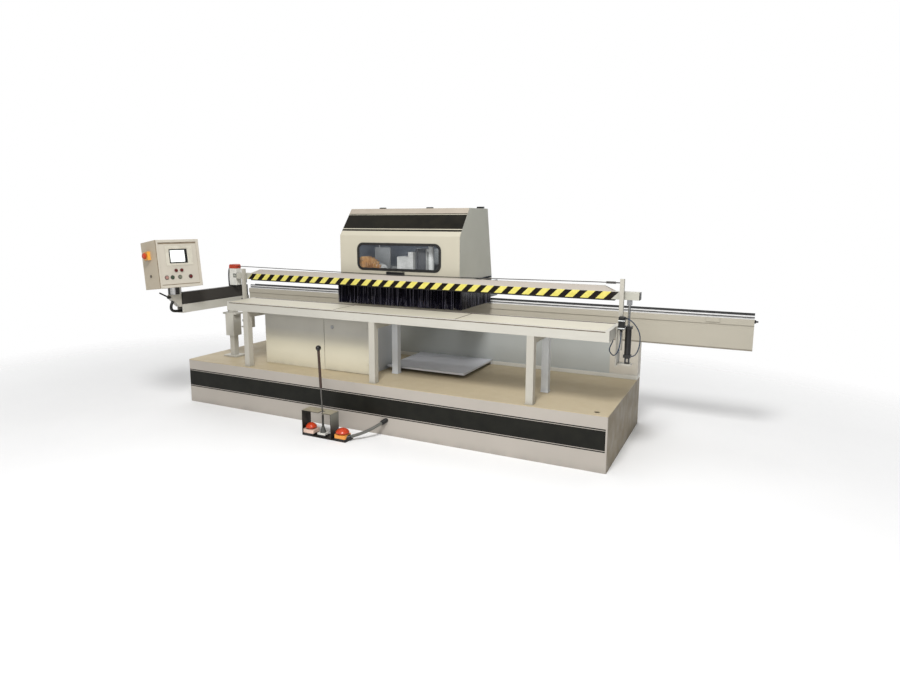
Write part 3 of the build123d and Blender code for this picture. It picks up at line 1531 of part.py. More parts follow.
def brush(centre, length, strand_count, turn):
    """A curtain of three-sided strands in staggered rows, fused to its backing."""
    with BuildPart(Plane((*centre, backing_bottom)).rotated((0, 0, turn))) as curtain:
        Box(length, backing_thickness, backing_height, align=(Align.CENTER, Align.CENTER, Align.MIN))
        with BuildSketch(Plane((*centre, backing_bottom)).rotated((0, 0, turn))):
            pitch = length / (strand_count + 1)
            with GridLocations(pitch, bristle_row_gap, strand_count, bristle_row_count):
                RegularPolygon(bristle_radius, 3)
        extrude(amount=bristle_bottom - backing_bottom)
    return curtain


save(brush((hood_middle, front_brush_y), front_brush_length, front_bristle_count, 0), "brush_front")
for brush_name, brush_x in (
    ("brush_left", frame_left - holder_thickness / 2),
    ("brush_right", frame_right + holder_thickness / 2),
):
    save(brush((brush_x, side_brush_y), side_brush_length, side_bristle_count, 90), brush_name)

# Tool rail across the hood frame, with the plates that carry the sanding units
tool_rail_left = frame_left + tool_rail_end_gap
tool_rail_right = frame_right - tool_rail_end_gap
with BuildPart() as tool_rail:
    with BuildSketch(Plane.YZ.offset(tool_rail_left)):
        with Locations((tool_rail_y + tool_rail_size / 2, frame_top + tool_rail_size / 2)):
            Rectangle(tool_rail_size, tool_rail_size)
            Rectangle(tool_rail_size - 2 * plinth_wall, tool_rail_size - 2 * plinth_wall, mode=Mode.SUBTRACT)
    extrude(amount=tool_rail_right - tool_rail_left)
    for plate_x, plate_width_x in (
        (flap_x, unit_plate_width),
        (profile_x, unit_plate_width),
        (finish_x, finish_box_width),
    ):
        plate_low = (plate_x - plate_width_x / 2, tool_rail_y - unit_plate, frame_top)
        block(plate_low, (plate_x + plate_width_x / 2, tool_rail_y, frame_top + unit_plate_height))
save(tool_rail, "tool_rail")

# Motors of the sanding units, and the lift cylinder beside the finishing unit
unit_face = tool_rail_y - unit_plate
flap_motor_front = unit_face - flap_motor_length
with BuildPart() as unit_motors:
    rod((flap_x, flap_motor_front, flap_z), flap_motor_length, flap_motor_diameter, ALONG_Y)
    flap_bore = flap_shaft_diameter + 2 * running_clearance
    rod((flap_x, flap_motor_front, flap_z), shaft_engagement, flap_bore, ALONG_Y, Mode.SUBTRACT)
    for unit_x, box_width, box_depth, box_height in (
        (profile_x, profile_box_width, profile_box_depth, profile_box_height),
        (finish_x, finish_box_width, finish_box_depth, finish_box_height),
    ):
        box_low = (unit_x - box_width / 2, wheel_y - box_depth / 2, unit_box_bottom)
        block(box_low, (unit_x + box_width / 2, wheel_y + box_depth / 2, unit_box_bottom + box_height))
        arm_low = (unit_x - unit_arm_width / 2, wheel_y, unit_box_bottom + unit_arm_height / 4)
        block(arm_low, (unit_x + unit_arm_width / 2, unit_face, unit_box_bottom + unit_arm_height * 1.25))
        wheel_bore = wheel_shaft_diameter + 2 * running_clearance
        rod((unit_x, wheel_y, unit_box_bottom), shaft_engagement, wheel_bore, mode=Mode.SUBTRACT)
    finish_top = unit_box_bottom + finish_box_height
    post_left = profile_x + profile_box_width / 2 - profile_post_width
    post_bottom_z = unit_box_bottom + profile_box_height
    post_low = (post_left, wheel_y - profile_box_depth / 2, post_bottom_z)
    post_high = (post_left + profile_post_width, wheel_y, post_bottom_z + profile_post_rise)
    block(post_low, post_high)
    plate_left = finish_x - finish_box_width / 2
    plate_low = (plate_left, wheel_y - finish_box_depth / 2 - unit_plate, unit_box_bottom + finish_box_height / 4)
    block(plate_low, (plate_left + finish_plate, wheel_y, finish_top))
    rod((lift_x, wheel_y, lift_bottom), lift_height, lift_diameter)
    for foot_z in (unit_box_bottom, finish_top - lift_diameter / 2):
        foot_low = (finish_x + finish_box_width / 2, wheel_y - lift_diameter / 2, foot_z)
        block(foot_low, (lift_x, wheel_y + lift_diameter / 2, foot_z + lift_diameter / 2))
save(unit_motors, "unit_motors")

# Flap wheel: abrasive flaps round a hub on the motor's shaft
with BuildPart() as flap_wheel:
    with BuildSketch(Plane.XZ.offset(-(flap_front + flap_width))):
        with Locations((flap_x, flap_z)):
            Circle(flap_hub_diameter / 2)
            with PolarLocations(flap_diameter / 4, flap_count):
                Rectangle(flap_diameter / 2, flap_thickness)
    extrude(amount=flap_width)
    flap_shaft_start = (flap_x, flap_front + flap_width, flap_z)
    flap_shaft_length = flap_motor_front + shaft_engagement - shaft_end_gap - flap_shaft_start[1]
    rod(flap_shaft_start, flap_shaft_length, flap_shaft_diameter, ALONG_Y)
save(flap_wheel, "flap_wheel")

# Profile wheel: a grooved abrasive rim on a vertical shaft
wheel_top = wheel_bottom + wheel_height
wheel_shaft_top = unit_box_bottom + shaft_engagement - shaft_end_gap
with BuildPart() as profile_wheel:
    with BuildSketch(Plane.XZ.offset(-wheel_y)):
        rim = profile_x + profile_wheel_diameter / 2
        with BuildLine():
            Polyline(
                (rim, wheel_top),
                (profile_x + wheel_shaft_diameter / 2, wheel_top),
                (profile_x + wheel_shaft_diameter / 2, wheel_shaft_top),
                (profile_x, wheel_shaft_top),
                (profile_x, wheel_bottom),
                (rim, wheel_bottom),
                (rim, wheel_bottom + profile_lip),
                (rim - profile_groove / 2, wheel_bottom + profile_lip + profile_groove / 3),
                (rim - profile_groove / 2, wheel_top - profile_lip - profile_groove / 3),
                (rim, wheel_top - profile_lip),
                close=True,
            )
        make_face()
    revolve(axis=Axis((profile_x, wheel_y, 0), (0, 0, 1)))
save(profile_wheel, "profile_wheel")

# Finishing wheel: abrasive fins round a core on a vertical shaft
with BuildPart() as finish_wheel:
    with BuildSketch(Plane.XY.offset(wheel_bottom)):
        with Locations((finish_x, wheel_y)):
            Circle(finish_core_diameter / 2)
            with PolarLocations(finish_wheel_diameter / 4, finish_fin_count):
                Rectangle(finish_wheel_diameter / 2, finish_fin_thickness)
    extrude(amount=wheel_height)
    rod((finish_x, wheel_y, wheel_top), wheel_shaft_top - wheel_top, wheel_shaft_diameter)
save(finish_wheel, "finish_wheel")

# Hoses and leads held at both ends: the valve's two air hoses, the rope switch's lead, the panel's cable
head_half = cylinder_head / 2
lower_port = cylinder_bottom + cylinder_head_height / 2
hose_y = stand_rear - stand_width - 2 * air_hose_diameter
feed_x = table_right - table_end_width / 2
valve_x = table_right + stand_plate + post_width / 2 + valve_shift
valve_bottom = table_height - valve_drop
valve_top = valve_bottom + valve_height
valve_y = post_front - valve_depth / 2
loop_left = table_right - hose_loop_width / 2
loop_bottom = apron_bottom - hose_loop_drop
feed_points = [
    (valve_x, hose_y, valve_bottom),
    (valve_x, hose_y, loop_bottom + hose_loop_width),
    (table_right, hose_y, loop_bottom),
    (loop_left, hose_y, loop_bottom + hose_loop_width / 2),
    (loop_left, hose_y, apron_bottom - hose_loop_width),
    (feed_x, hose_y, apron_bottom - hose_loop_width / 3),
    (feed_x, hose_y, apron_bottom),
]
bridge_x = cylinder_x + head_half
bridge_far = bridge_x + hose_bulge
bridge_top = valve_top - valve_plate * 1.5
bridge_points = [
    (valve_x + valve_width / 2, valve_y, bridge_top),
    (bridge_x, valve_y, bridge_top),
    (bridge_far, (valve_y + clamp_middle_y) / 2, bridge_top - 1.5 * hose_bulge),
    (bridge_far, clamp_middle_y, lower_port + 1.5 * hose_bulge),
    (bridge_x + hose_bulge / 2, clamp_middle_y, lower_port),
    (bridge_x, clamp_middle_y, lower_port),
]
lead_height = switch_top + switch_cap_height / 3
lead_end = table_height + fence_height / 2
fence_left = arm_x - fence_width / 2
lead_out = switch_left - lead_bulge / 2
lead_far = switch_left - lead_bulge
lead_points = [
    (switch_left, rope_y, lead_height),
    (lead_out, rope_y, lead_height),
    (lead_far, rope_y, lead_height - lead_bulge),
    (lead_far, rope_y, lead_end + lead_bulge),
    (lead_out, rope_y, lead_end),
    (fence_left, rope_y, lead_end),
]
slant_start = Vector(arm_x, bracket_front, bracket_top - bracket_nose)
slant = Vector(arm_x, arm_front - bracket_root, bracket_bottom) - slant_start
slant_out = Vector(0, slant.Z, -slant.Y).normalized()
cable_start = slant_start + slant * 0.35
cable_out = cable_start + slant_out * cable_bulge
cable_floor = arm_bottom + arm_sheet + cable_diameter / 2 + curved_gap
cable_points = [
    cable_start,
    cable_out,
    cable_out - Vector(0, 0, cable_hang),
    Vector(arm_x, neck_y, cable_floor),
    Vector(arm_x, arm_front + cable_tuck, cable_floor),
]
held_tubes = [
    tube_along(feed_points, air_hose_diameter, cord_radii(feed_points), air_hose_side_count),
    tube_along(bridge_points, air_hose_diameter, cord_radii(bridge_points), air_hose_side_count),
    tube_along(lead_points, lead_diameter, cord_radii(lead_points), air_hose_side_count),
    tube_along(cable_points, cable_diameter, cord_radii(cable_points), air_hose_side_count),
]
with BuildPart() as air_hoses:
    for tube in held_tubes:
        add(tube.part)
    with Locations((valve_x, valve_y, valve_bottom)):
        Box(valve_width, valve_depth, valve_height, align=(Align.CENTER, Align.CENTER, Align.MIN))
    for plate_z in (valve_bottom + valve_plate, valve_top - 4 * valve_plate):
        plate_y = valve_y - valve_overhang / 2
        with Locations((valve_x, plate_y, plate_z)):
            Box(
                valve_width + 2 * valve_overhang,
                valve_depth + valve_overhang,
                valve_plate,
                align=(Align.CENTER, Align.CENTER, Align.MIN),
            )
for points in (feed_points, bridge_points, lead_points, cable_points):
    print("held route", [tuple(round(value, 2) for value in Vector(point)) for point in points])
save(air_hoses, "air_hoses")
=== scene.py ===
"""Look of the profile sander: camera, studio, materials, and the hoses, brushes, wheels and trim.

Everything is in metres in the frame that CAD made. X runs along the machine, Y points to its
rear, Z points up, and the machine stands on the plane z = 0.
"""

import json
import math
import random

import bpy
from mathutils import Matrix, Vector


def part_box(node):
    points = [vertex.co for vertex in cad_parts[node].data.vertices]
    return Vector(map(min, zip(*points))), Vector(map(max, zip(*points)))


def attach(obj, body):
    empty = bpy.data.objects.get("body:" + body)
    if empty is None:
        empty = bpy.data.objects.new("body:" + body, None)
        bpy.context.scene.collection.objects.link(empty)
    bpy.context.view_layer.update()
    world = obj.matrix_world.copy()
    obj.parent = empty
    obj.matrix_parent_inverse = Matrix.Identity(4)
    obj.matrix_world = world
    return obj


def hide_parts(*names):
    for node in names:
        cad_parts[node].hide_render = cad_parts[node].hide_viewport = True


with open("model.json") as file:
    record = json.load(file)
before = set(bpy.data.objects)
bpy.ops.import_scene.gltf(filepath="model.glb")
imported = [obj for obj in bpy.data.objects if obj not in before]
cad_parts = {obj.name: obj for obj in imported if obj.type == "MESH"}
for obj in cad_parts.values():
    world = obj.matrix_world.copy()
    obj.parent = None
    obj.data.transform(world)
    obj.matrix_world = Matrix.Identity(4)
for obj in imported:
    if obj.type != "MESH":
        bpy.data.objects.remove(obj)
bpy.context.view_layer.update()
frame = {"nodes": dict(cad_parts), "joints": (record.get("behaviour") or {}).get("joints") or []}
joints = {joint["name"]: joint for joint in frame["joints"]}

# Camera, fitted to the edges of the machine in the photo
photo_width = 900
photo_height = 675
photo_focus = 632.3147
photo_centre_x = 434.2111
photo_centre_y = 320.4260
sensor_width = 36.0
camera_place = Vector((2.549, -4.398, 1.567))
camera_yaw = 0.4719
camera_pitch = -0.1575

# Studio floor, which fades out round the machine
floor_centre = (0.1, -0.3)
floor_half = (5.6, 4.2)
floor_fade = (0.5, 0.95)
floor_steps = (-1.0, -0.5, 0.0, 0.5, 1.0)

# Surround: a direction, a range along it, and the strength at the start and end of that range
room_parts = (
    ((-math.sin(camera_yaw), math.cos(camera_yaw), 0.0), 0.1, 0.65, 0.38, 1.0),
    ((1.0, 0.0, 0.0), 0.2, 0.8, 1.0, 0.6),
    ((0.0, 0.0, 1.0), 0.35, 0.85, 1.0, 1.2),
)

# Lights: place, width and height, power, and the point that the light is aimed at
lights = {
    "key_light": (Vector((1.6, -3.7, 4.9)), (1.3, 1.3), 240, Vector((0.2, 0.0, 0.7))),
    "fill_light": (Vector((2.0, -5.2, 1.9)), (1.4, 1.4), 35, Vector((0.0, 0.0, 0.7))),
    "hood_lamp": (Vector((0.0, -0.02, 1.44)), (0.7, 0.12), 1.0, Vector((0.0, 0.3, 1.2))),
}

# Conduit from the foot switch to the base: the route's points, and its ribs
conduit_route = [
    (0.0370, -0.7892, 0.0300), (0.0711, -0.7571, 0.0401), (0.1032, -0.7234, 0.0515),
    (0.1318, -0.6869, 0.0651), (0.1569, -0.6478, 0.0809), (0.1800, -0.6070, 0.0980),
]
conduit_diameter = 0.024
conduit_rib_pitch = 0.0062
conduit_rib_depth = 0.0014
conduit_resolution = 80
conduit_sides = 20

# Hoses, lead and cable that the machine holds at both ends
feed_route = [
    (1.814, -0.365, 0.882), (1.814, -0.365, 0.770), (1.779, -0.365, 0.704), (1.746, -0.365, 0.737),
    (1.746, -0.365, 0.763), (1.767, -0.365, 0.807), (1.767, -0.365, 0.829),
]
bridge_route = [
    (1.833, -0.353, 0.9555), (1.865, -0.353, 0.9555), (1.919, -0.311, 0.8745),
    (1.919, -0.269, 0.7800), (1.892, -0.269, 0.6990), (1.865, -0.269, 0.6990),
]
lead_route = [
    (-1.559, -0.258, 1.1620), (-1.579, -0.258, 1.1620), (-1.599, -0.258, 1.1220),
    (-1.599, -0.258, 0.9875), (-1.579, -0.258, 0.9475), (-1.570, -0.258, 0.9475),
]
cable_route = [
    (-1.550, -0.9151, 0.92915), (-1.550, -0.93587, 0.9075), (-1.550, -0.93587, 0.8625),
    (-1.550, -0.8910, 0.8473), (-1.550, -0.8000, 0.8473),
]
air_hose_diameter = 0.007
lead_diameter = 0.012
cable_diameter = 0.022
hose_resolution = 10
hose_sides = 12
lead_sides = 16

# Air valve on the right stand, with its hose collars as radius and distance along the hose
valve_low = Vector((1.795, -0.375, 0.882))
valve_high = Vector((1.833, -0.331, 0.966))
valve_bevel = 0.003
valve_plate_heights = (0.889, 0.938)
valve_plate = 0.007
valve_plate_bevel = 0.0015
valve_overhang = 0.002
collar_profile = ((0.0075, 0.0), (0.0075, 0.006), (0.0062, 0.009), (0.0062, 0.014))
collar_sides = 6

# Bristle curtains
strand_spacing = 0.0021
strand_rows = 5
strand_fill = 0.8
strand_margin = 0.002
strand_thickness = (0.0009, 0.0017)
strand_taper = 0.4
strand_steps = 4
strand_angles = [0.5 + 2 * math.pi * side / 3 for side in range(3)]
strand_splay = 0.004
strand_wear = 0.010
strand_flare = 0.5
clump_rate = 95
backing_height = 0.008
backing_clip = 0.003

# Sanding wheels: node, body, axis, flaps, strips in each flap, hub and shaft radius, and width
flap_wheels = {
    "flap_cloth": ("flap_wheel", "flap", (0, 1, 0), 32, 7, 0.042, 0.012, 0.085),
    "finish_cloth": ("finish_wheel", "finish", (0, 0, 1), 36, 6, 0.026, 0.010, 0.062),
}
flap_thickness = 0.0028
flap_steps = 5
flap_sweep = 0.34
flap_sweep_spread = 0.05
flap_wear = 0.035
flap_root = 0.9
slit_share = 0.06
flange_lip = 0.12
nut_shares = (0.5, 1.2, 1.3, 1.5)

# Pressed rings round the panel's buttons, as radius and distance off the panel
ring_profile = ((0.0128, 0.0), (0.0165, 0.0), (0.0165, 0.0015), (0.0150, 0.0032), (0.0128, 0.0032))
ring_rise = 0.0005
ring_sides = 28

# Painted bands, as lowest and highest edge of each dark line
base_band_lines = ((0.1355, 0.1435), (0.1475, 0.276), (0.280, 0.288))
base_band_gap = 0.012
hood_band_lines = ((1.482, 1.4955), (1.5015, 1.6065), (1.6105, 1.616))
hood_slope = (0.4, 0.85)

# Painted shadow in the joint under the table's top, the seams between its boards and the strip along their
# rear
table_shadow_heights = (0.8880, 0.8945)
board_seams = (-0.274, 0.740)
seam_half = 0.005
rear_strip_front = -0.258

# Yellow and black stripes on the clamp beam, counted from far left, and the cover above them
stripe_pitch = 0.1005
stripe_share = 0.48
stripe_start = -1.286
stripe_lead = 1000
stripe_fray = 0.001
stripe_middle_z = 1.0905
stripe_left = -1.315
stripe_right = 1.753
stripe_heights = (1.066, 1.1155)
cover_rise = 0.050

# Rope switch: its black foot, white body, and the centre and half sizes of the key on its front
switch_foot = 0.012
switch_body = 0.155
switch_key = (-1.497, 1.090)
switch_key_halves = (0.017, 0.010)

# Control panel, measured across it and up from its lower edge
panel_half = 0.173
display_centre = (-0.001, 0.240)
display_page = (0.057, 0.0455)
display_page_shift = -0.006
display_frame = (0.0725, 0.055)
lamp_heights = (0.112, 0.148)
lamp_span = (-0.06, 0.04)
stop_collar_bottom = 0.18
start_button_spot = (-0.110, 0.078)
panel_top_line = (0.334, 0.346)
panel_bottom_line = (0.020, 0.026)
panel_line_half = 0.150
panel_left_edge = -0.166

# Top of the rear wall's pale foot and the start of its warmer end, and the painted shadow on the cabinet's
# top part
wall_foot_top = 0.4005
wall_end_left = 1.59
cabinet_shadow_heights = (0.56, 0.68)

# Shaded lip along the rail beam's lower edge
rail_lip_heights = (0.662, 0.673)

# Foot switch: its guard's painted sheen on top and on its right side, its blocks, and the parts of its
# carrying rod
guard_outer_x = -0.2
guard_top_sheen_heights = (0.12, 0.18)
guard_side_sheen_heights = (0.05, 0.17)
block_half = 0.06
block_base = 0.016
boot_bottom = 0.036
rod_steel_heights = (0.169, 0.366)
rod_grip_heights = (0.367, 0.6425)
rod_ball = 0.0385

# Where another node's finish changes
rear_leg_front = -0.25
hood_top = 1.657
hood_middle = Vector((0.08, 0.1, 1.3))
panel_hub_radius = 0.054
panel_hub_top = 1.04
bracket_top = 0.9865
arm_front = -0.8505
plate_edges = (0.2205, 0.3035)

# Shading: ranges of noise, edges and corners, brightest paint, drawn metal's stretch, limits of angle
noise_span = (0.3, 0.7)
edge_span = (0.85, 0.99)
corner_span = (0.25, 0.95)
brightest = 0.95
drawn_stretch = (0.3, 6.0, 6.0)
shader_square = 0.9
face_square = 0.95
smooth_angle = math.radians(35)

materials = {}


def channel(value):
    """One display colour value as linear light."""
    share = value / 255
    return share / 12.92 if share <= 0.04045 else ((share + 0.055) / 1.055) ** 2.4


def shade(colour, factor=1.0):
    """A colour given by its display values as linear light, made darker or lighter by a factor."""
    return tuple(min(channel(value) * factor, brightest) for value in colour) + (1.0,)


class Nodes:
    """A node tree, with calls that add a node and return its result."""

    def __init__(self, tree):
        self.tree = tree

    def feed(self, socket, value):
        """Link a result to a socket, or set the socket to a plain value."""
        if isinstance(value, bpy.types.NodeSocket):
            self.tree.links.new(value, socket)
        else:
            socket.default_value = value

    def add(self, kind, output, sockets=None, **settings):
        """Add a node with its settings, feed some of its sockets, and return an output."""
        node = self.tree.nodes.new(kind)
        for name, value in settings.items():
            setattr(node, name, value)
        for name, value in (sockets or {}).items():
            self.feed(node.inputs[name], value)
        return node.outputs[output]

    def math(self, operation, *values):
        """The result of an operation on numbers."""
        return self.add("ShaderNodeMath", 0, dict(enumerate(values)), operation=operation)

    def vector(self, operation, first, second):
        """The result of an operation on two vectors."""
        output = "Value" if operation in ("DOT_PRODUCT", "DISTANCE") else "Vector"
        return self.add("ShaderNodeVectorMath", output, {0: first, 1: second}, operation=operation)

    def remap(self, value, low, high, to_low, to_high):
        """A value moved from one range to another, and kept inside it."""
        limits = {"From Min": low, "From Max": high, "To Min": to_low, "To Max": to_high}
        return self.add("ShaderNodeMapRange", "Result", {"Value": value, **limits})

    def fold(self, operation, values):
        """Values joined one after another by an operation."""
        result = values[0]
        for value in values[1:]:
            result = self.math(operation, result, value)
        return result

    def either(self, *masks):
        """1 where any of some masks is."""
        return self.fold("MAXIMUM", masks)

    def both(self, *masks):
        """1 where all of some masks are."""
        return self.fold("MULTIPLY", masks)


class Shader(Nodes):
    """One material's nodes. Its sharp edges look rounded where it is given their radius."""

    def __init__(self, name, edge=None):
        material = materials[name] = bpy.data.materials.new(name)
        material.use_nodes = True
        super().__init__(material.node_tree)
        self.tree.nodes.clear()
        self.surface = self.tree.nodes.new("ShaderNodeBsdfPrincipled")
        output = self.tree.nodes.new("ShaderNodeOutputMaterial")
        self.tree.links.new(self.surface.outputs["BSDF"], output.inputs["Surface"])
        coordinates = self.tree.nodes.new("ShaderNodeTexCoord")
        self.place = coordinates.outputs["Object"]
        self.facing = coordinates.outputs["Normal"]
        self.colour = self.rounded = None
        if edge:
            self.rounded = self.add("ShaderNodeBevel", "Normal", {"Radius": edge}, samples=4)

    def geometry(self, output):
        """A property of the mesh."""
        return self.add("ShaderNodeNewGeometry", output)

    def noise(self, scale, detail=3.0, stretch=None):
        """Cloudy noise from 0 to 1."""
        place = self.vector("MULTIPLY", self.place, stretch) if stretch else self.place
        return self.add("ShaderNodeTexNoise", "Fac", {"Vector": place, "Scale": scale, "Detail": detail})

    def cells(self, scale):
        """Distance to the nearest of many scattered points."""
        return self.add("ShaderNodeTexVoronoi", "Distance", {"Vector": self.place, "Scale": scale})

    def waves(self, scale, stretch):
        """Regular bands along the stretched diagonal."""
        sockets = {"Vector": self.vector("MULTIPLY", self.place, stretch), "Scale": scale}
        return self.add("ShaderNodeTexWave", "Fac", sockets, bands_direction="DIAGONAL")

    def ramp(self, factor, low, high, start=noise_span[0], end=noise_span[1]):
        """A colour that goes from one tone to another with a factor."""
        node = self.tree.nodes.new("ShaderNodeValToRGB")
        first, last = node.color_ramp.elements
        first.position, first.color = start, low
        last.position, last.color = end, high
        self.feed(node.inputs["Fac"], factor)
        return node.outputs["Color"]

    def shades(self, factor, colour, low, high, *ends):
        """A colour that goes from darker to lighter with a factor."""
        return self.ramp(factor, shade(colour, low), shade(colour, high), *ends)

    def mottle(self, scale, low, high, detail=4):
        """A cloudy mix of two colours given by their display values."""
        return self.ramp(self.noise(scale, detail), shade(low), shade(high))

    def patchy(self, scale, low, high, detail=3.0):
        """A value that wanders cloudily between two others."""
        return self.remap(self.noise(scale, detail), *noise_span, low, high)

    def patches(self, scale, start, end, share, detail=3.0, stretch=None):
        """A share where the noise is high, and 0 where it is low."""
        return self.remap(self.noise(scale, detail, stretch), start, end, 0.0, share)

    def mix(self, factor, first, second):
        """The first colour where the factor is 0, the second where it is 1."""
        return self.add("ShaderNodeMix", 2, {0: factor, 6: first, 7: second}, data_type="RGBA")

    def lay(self, mask, colour, factor=1.0):
        """Cover the surface, where a mask is 1, with a result or a colour's display values."""
        if isinstance(colour, tuple):
            colour = shade(colour, factor)
        self.colour = self.mix(mask, self.colour, colour)

    def axis(self, index, vector=None):
        """One coordinate of a vector, or of the place on the object."""
        return self.add("ShaderNodeSeparateXYZ", index, {0: vector or self.place})

    def along(self, origin, direction):
        """Distance from an origin along a direction."""
        return self.vector("DOT_PRODUCT", self.vector("SUBTRACT", self.place, origin), direction)

    def over(self, value, limit):
        """1 where a value is over a limit."""
        return self.math("GREATER_THAN", value, limit)

    def under(self, value, limit):
        """1 where a value is under a limit."""
        return self.math("LESS_THAN", value, limit)

    def near(self, value, middle, half):
        """1 where a value lies near another, and 0 elsewhere."""
        return self.math("COMPARE", value, middle, half)

    def between(self, value, low, high):
        """1 where a value lies between two others, and 0 elsewhere."""
        return self.near(value, (low + high) / 2, (high - low) / 2)

    def front(self):
        """1 where the surface faces the machine's front."""
        return self.under(self.axis(1, self.facing), -shader_square)

    def edges(self):
        """1 along sharp edges, and 0 on open surfaces."""
        product = self.vector("DOT_PRODUCT", self.rounded, self.geometry("True Normal"))
        return self.remap(product, *edge_span, 1.0, 0.0)

    def worn(self, *patches):
        """Patches along sharp edges."""
        return self.both(self.edges(), self.patches(*patches))

    def corners(self, reach):
        """1 deep in corners and gaps, and 0 where nothing is near."""
        openness = self.add("ShaderNodeAmbientOcclusion", "AO", {"Distance": reach}, samples=4)
        return self.remap(openness, *corner_span, 1.0, 0.0)

    def dress(self, roughness, height, depth, rise=0.3, metallic=0.0, specular=0.5):
        """Give the surface its colour, roughness, relief and kind of gloss."""
        relief = {"Strength": rise, "Distance": depth, "Height": height}
        if self.rounded is not None:
            relief["Normal"] = self.rounded
        sockets = {
            "Base Color": self.colour, "Roughness": roughness, "Metallic": metallic,
            "Specular IOR Level": specular, "Normal": self.add("ShaderNodeBump", "Normal", relief),
        }
        for name, value in sockets.items():
            self.feed(self.surface.inputs[name], value)


def sheet_paint(name, colour, pattern=None, gloss=(0.34, 0.5)):
    """Sprayed sheet steel: cloudy tone, fine orange peel, dirt and painted shade in corners, rubbed edges
    that are partly a painted highlight.
    """
    shader = Shader(name, edge=0.002)
    shader.colour = shader.shades(shader.noise(2.2, 4), colour, 0.96, 1.04)
    if pattern:
        pattern(shader)
    # Painted shade: the paint darkens deep in corners and gaps, where shade falls, broken up by patchy
    # dirt
    corner_dirt_and_shade = shader.both(shader.corners(0.06), shader.patchy(9, 0.1, 0.6, 4))
    shader.lay(corner_dirt_and_shade, colour, 0.3)
    # Lighter paint along sharp edges: rubbed paint, and also a painted highlight where edges catch light
    shader.lay(shader.worn(35, 0.45, 0.65, 0.6), colour, 1.3)
    shader.dress(shader.patchy(11, *gloss), shader.noise(520, 2), depth=0.0003, rise=0.15, specular=0.22)


def dark_lines(shader, lines, limit):
    """Mask of some lines between heights, inside another mask."""
    height = shader.axis(2)
    return shader.both(limit, shader.either(*[shader.between(height, *line) for line in lines]))


def base_band(shader):
    """The dark band along the base's front, thin lines above and below it, and painted shade on its right
    side.
    """
    low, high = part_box("base_plinth")
    length = shader.between(shader.axis(0), low.x, high.x - base_band_gap)
    mask = dark_lines(shader, base_band_lines, shader.both(shader.front(), length))
    dark = shader.mottle(14, (15, 15, 10), (25, 25, 18))
    # Painted shade: faces that look to the right get a darker brown, for the shade on that side
    right = shader.over(shader.axis(0, shader.facing), shader_square)
    right_side_shade = shader.mottle(5, (121, 108, 84), (133, 120, 95))
    shader.lay(right, right_side_shade)
    shader.lay(mask, dark)


def hood_band(shader):
    """The bare dark band across the hood's slope, and painted shade on the hood above it."""
    slope = shader.between(shader.axis(2, shader.facing), *hood_slope)
    mask = dark_lines(shader, hood_band_lines, slope)
    dark = shader.mottle(14, (18, 16, 9), (29, 26, 17))
    # Painted shade: above the band the hood gets a darker tone, for how light falls on its top
    upper = shader.over(shader.axis(2), hood_band_lines[-1][1])
    dull = shader.mottle(5, (170, 160, 146), (180, 170, 156))
    shader.lay(upper, dull)
    shader.lay(mask, dark)


def beam_stripes(shader):
    """Leaning yellow and black stripes on the clamp beam's front, below its duller cover."""
    x, z = shader.axis(0), shader.axis(2)
    cover = shader.over(z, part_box("clamp_pad")[1].z + cover_rise)
    shader.lay(cover, (181, 173, 163))
    leaned = shader.math("SUBTRACT", x, shader.math("SUBTRACT", z, stripe_middle_z))
    frayed = shader.math("ADD", leaned, shader.patchy(160, -stripe_fray, stripe_fray))
    counted = shader.math("DIVIDE", shader.math("SUBTRACT", frayed, stripe_start), stripe_pitch)
    turn = shader.math("FRACT", shader.math("ADD", counted, stripe_share / 2 + stripe_lead))
    length = shader.between(leaned, stripe_left, stripe_right)
    taped = shader.both(shader.front(), shader.between(z, *stripe_heights), length)
    yellow = shader.mottle(30, (218, 206, 96), (232, 221, 126))
    soot = shader.mottle(30, (14, 10, 8), (28, 20, 16))
    shader.lay(taped, shader.mix(shader.under(turn, stripe_share), yellow, soot))


def table_joint_shadow(shader):
    """Painted shadow in the joint along the table's front, just under its top."""
    low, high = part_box("table_boards")
    length = shader.between(shader.axis(0), low.x, high.x)
    mask = dark_lines(shader, (table_shadow_heights,), shader.both(shader.front(), length))
    shader.lay(mask, shader.mottle(40, (86, 76, 64), (120, 108, 94), 3))


def rail_lip_shade(shader):
    """Painted shade on the lip along the rail beam's lower front edge."""
    mask = dark_lines(shader, (rail_lip_heights,), shader.front())
    shader.lay(mask, shader.mottle(20, (132, 125, 112), (150, 143, 130), 3))


def wall_parts(shader):
    """The rear wall's pale foot and its warmer right end."""
    end = shader.over(shader.axis(0), wall_end_left)
    shader.lay(end, shader.mottle(5, (196, 190, 178), (208, 202, 190)))
    foot = shader.under(shader.axis(2), wall_foot_top)
    shader.lay(foot, shader.mottle(9, (214, 212, 204), (226, 224, 216)))


def cabinet_top_shadow(shader):
    """Painted shadow: the cabinet turns greyer towards its top, where the table's shadow falls."""
    # Painted shadow of the table, fading in between two heights
    upper = shader.remap(shader.axis(2), *cabinet_shadow_heights, 0.0, 1.0)
    shader.lay(upper, shader.mottle(4, (190, 188, 180), (200, 198, 190)))


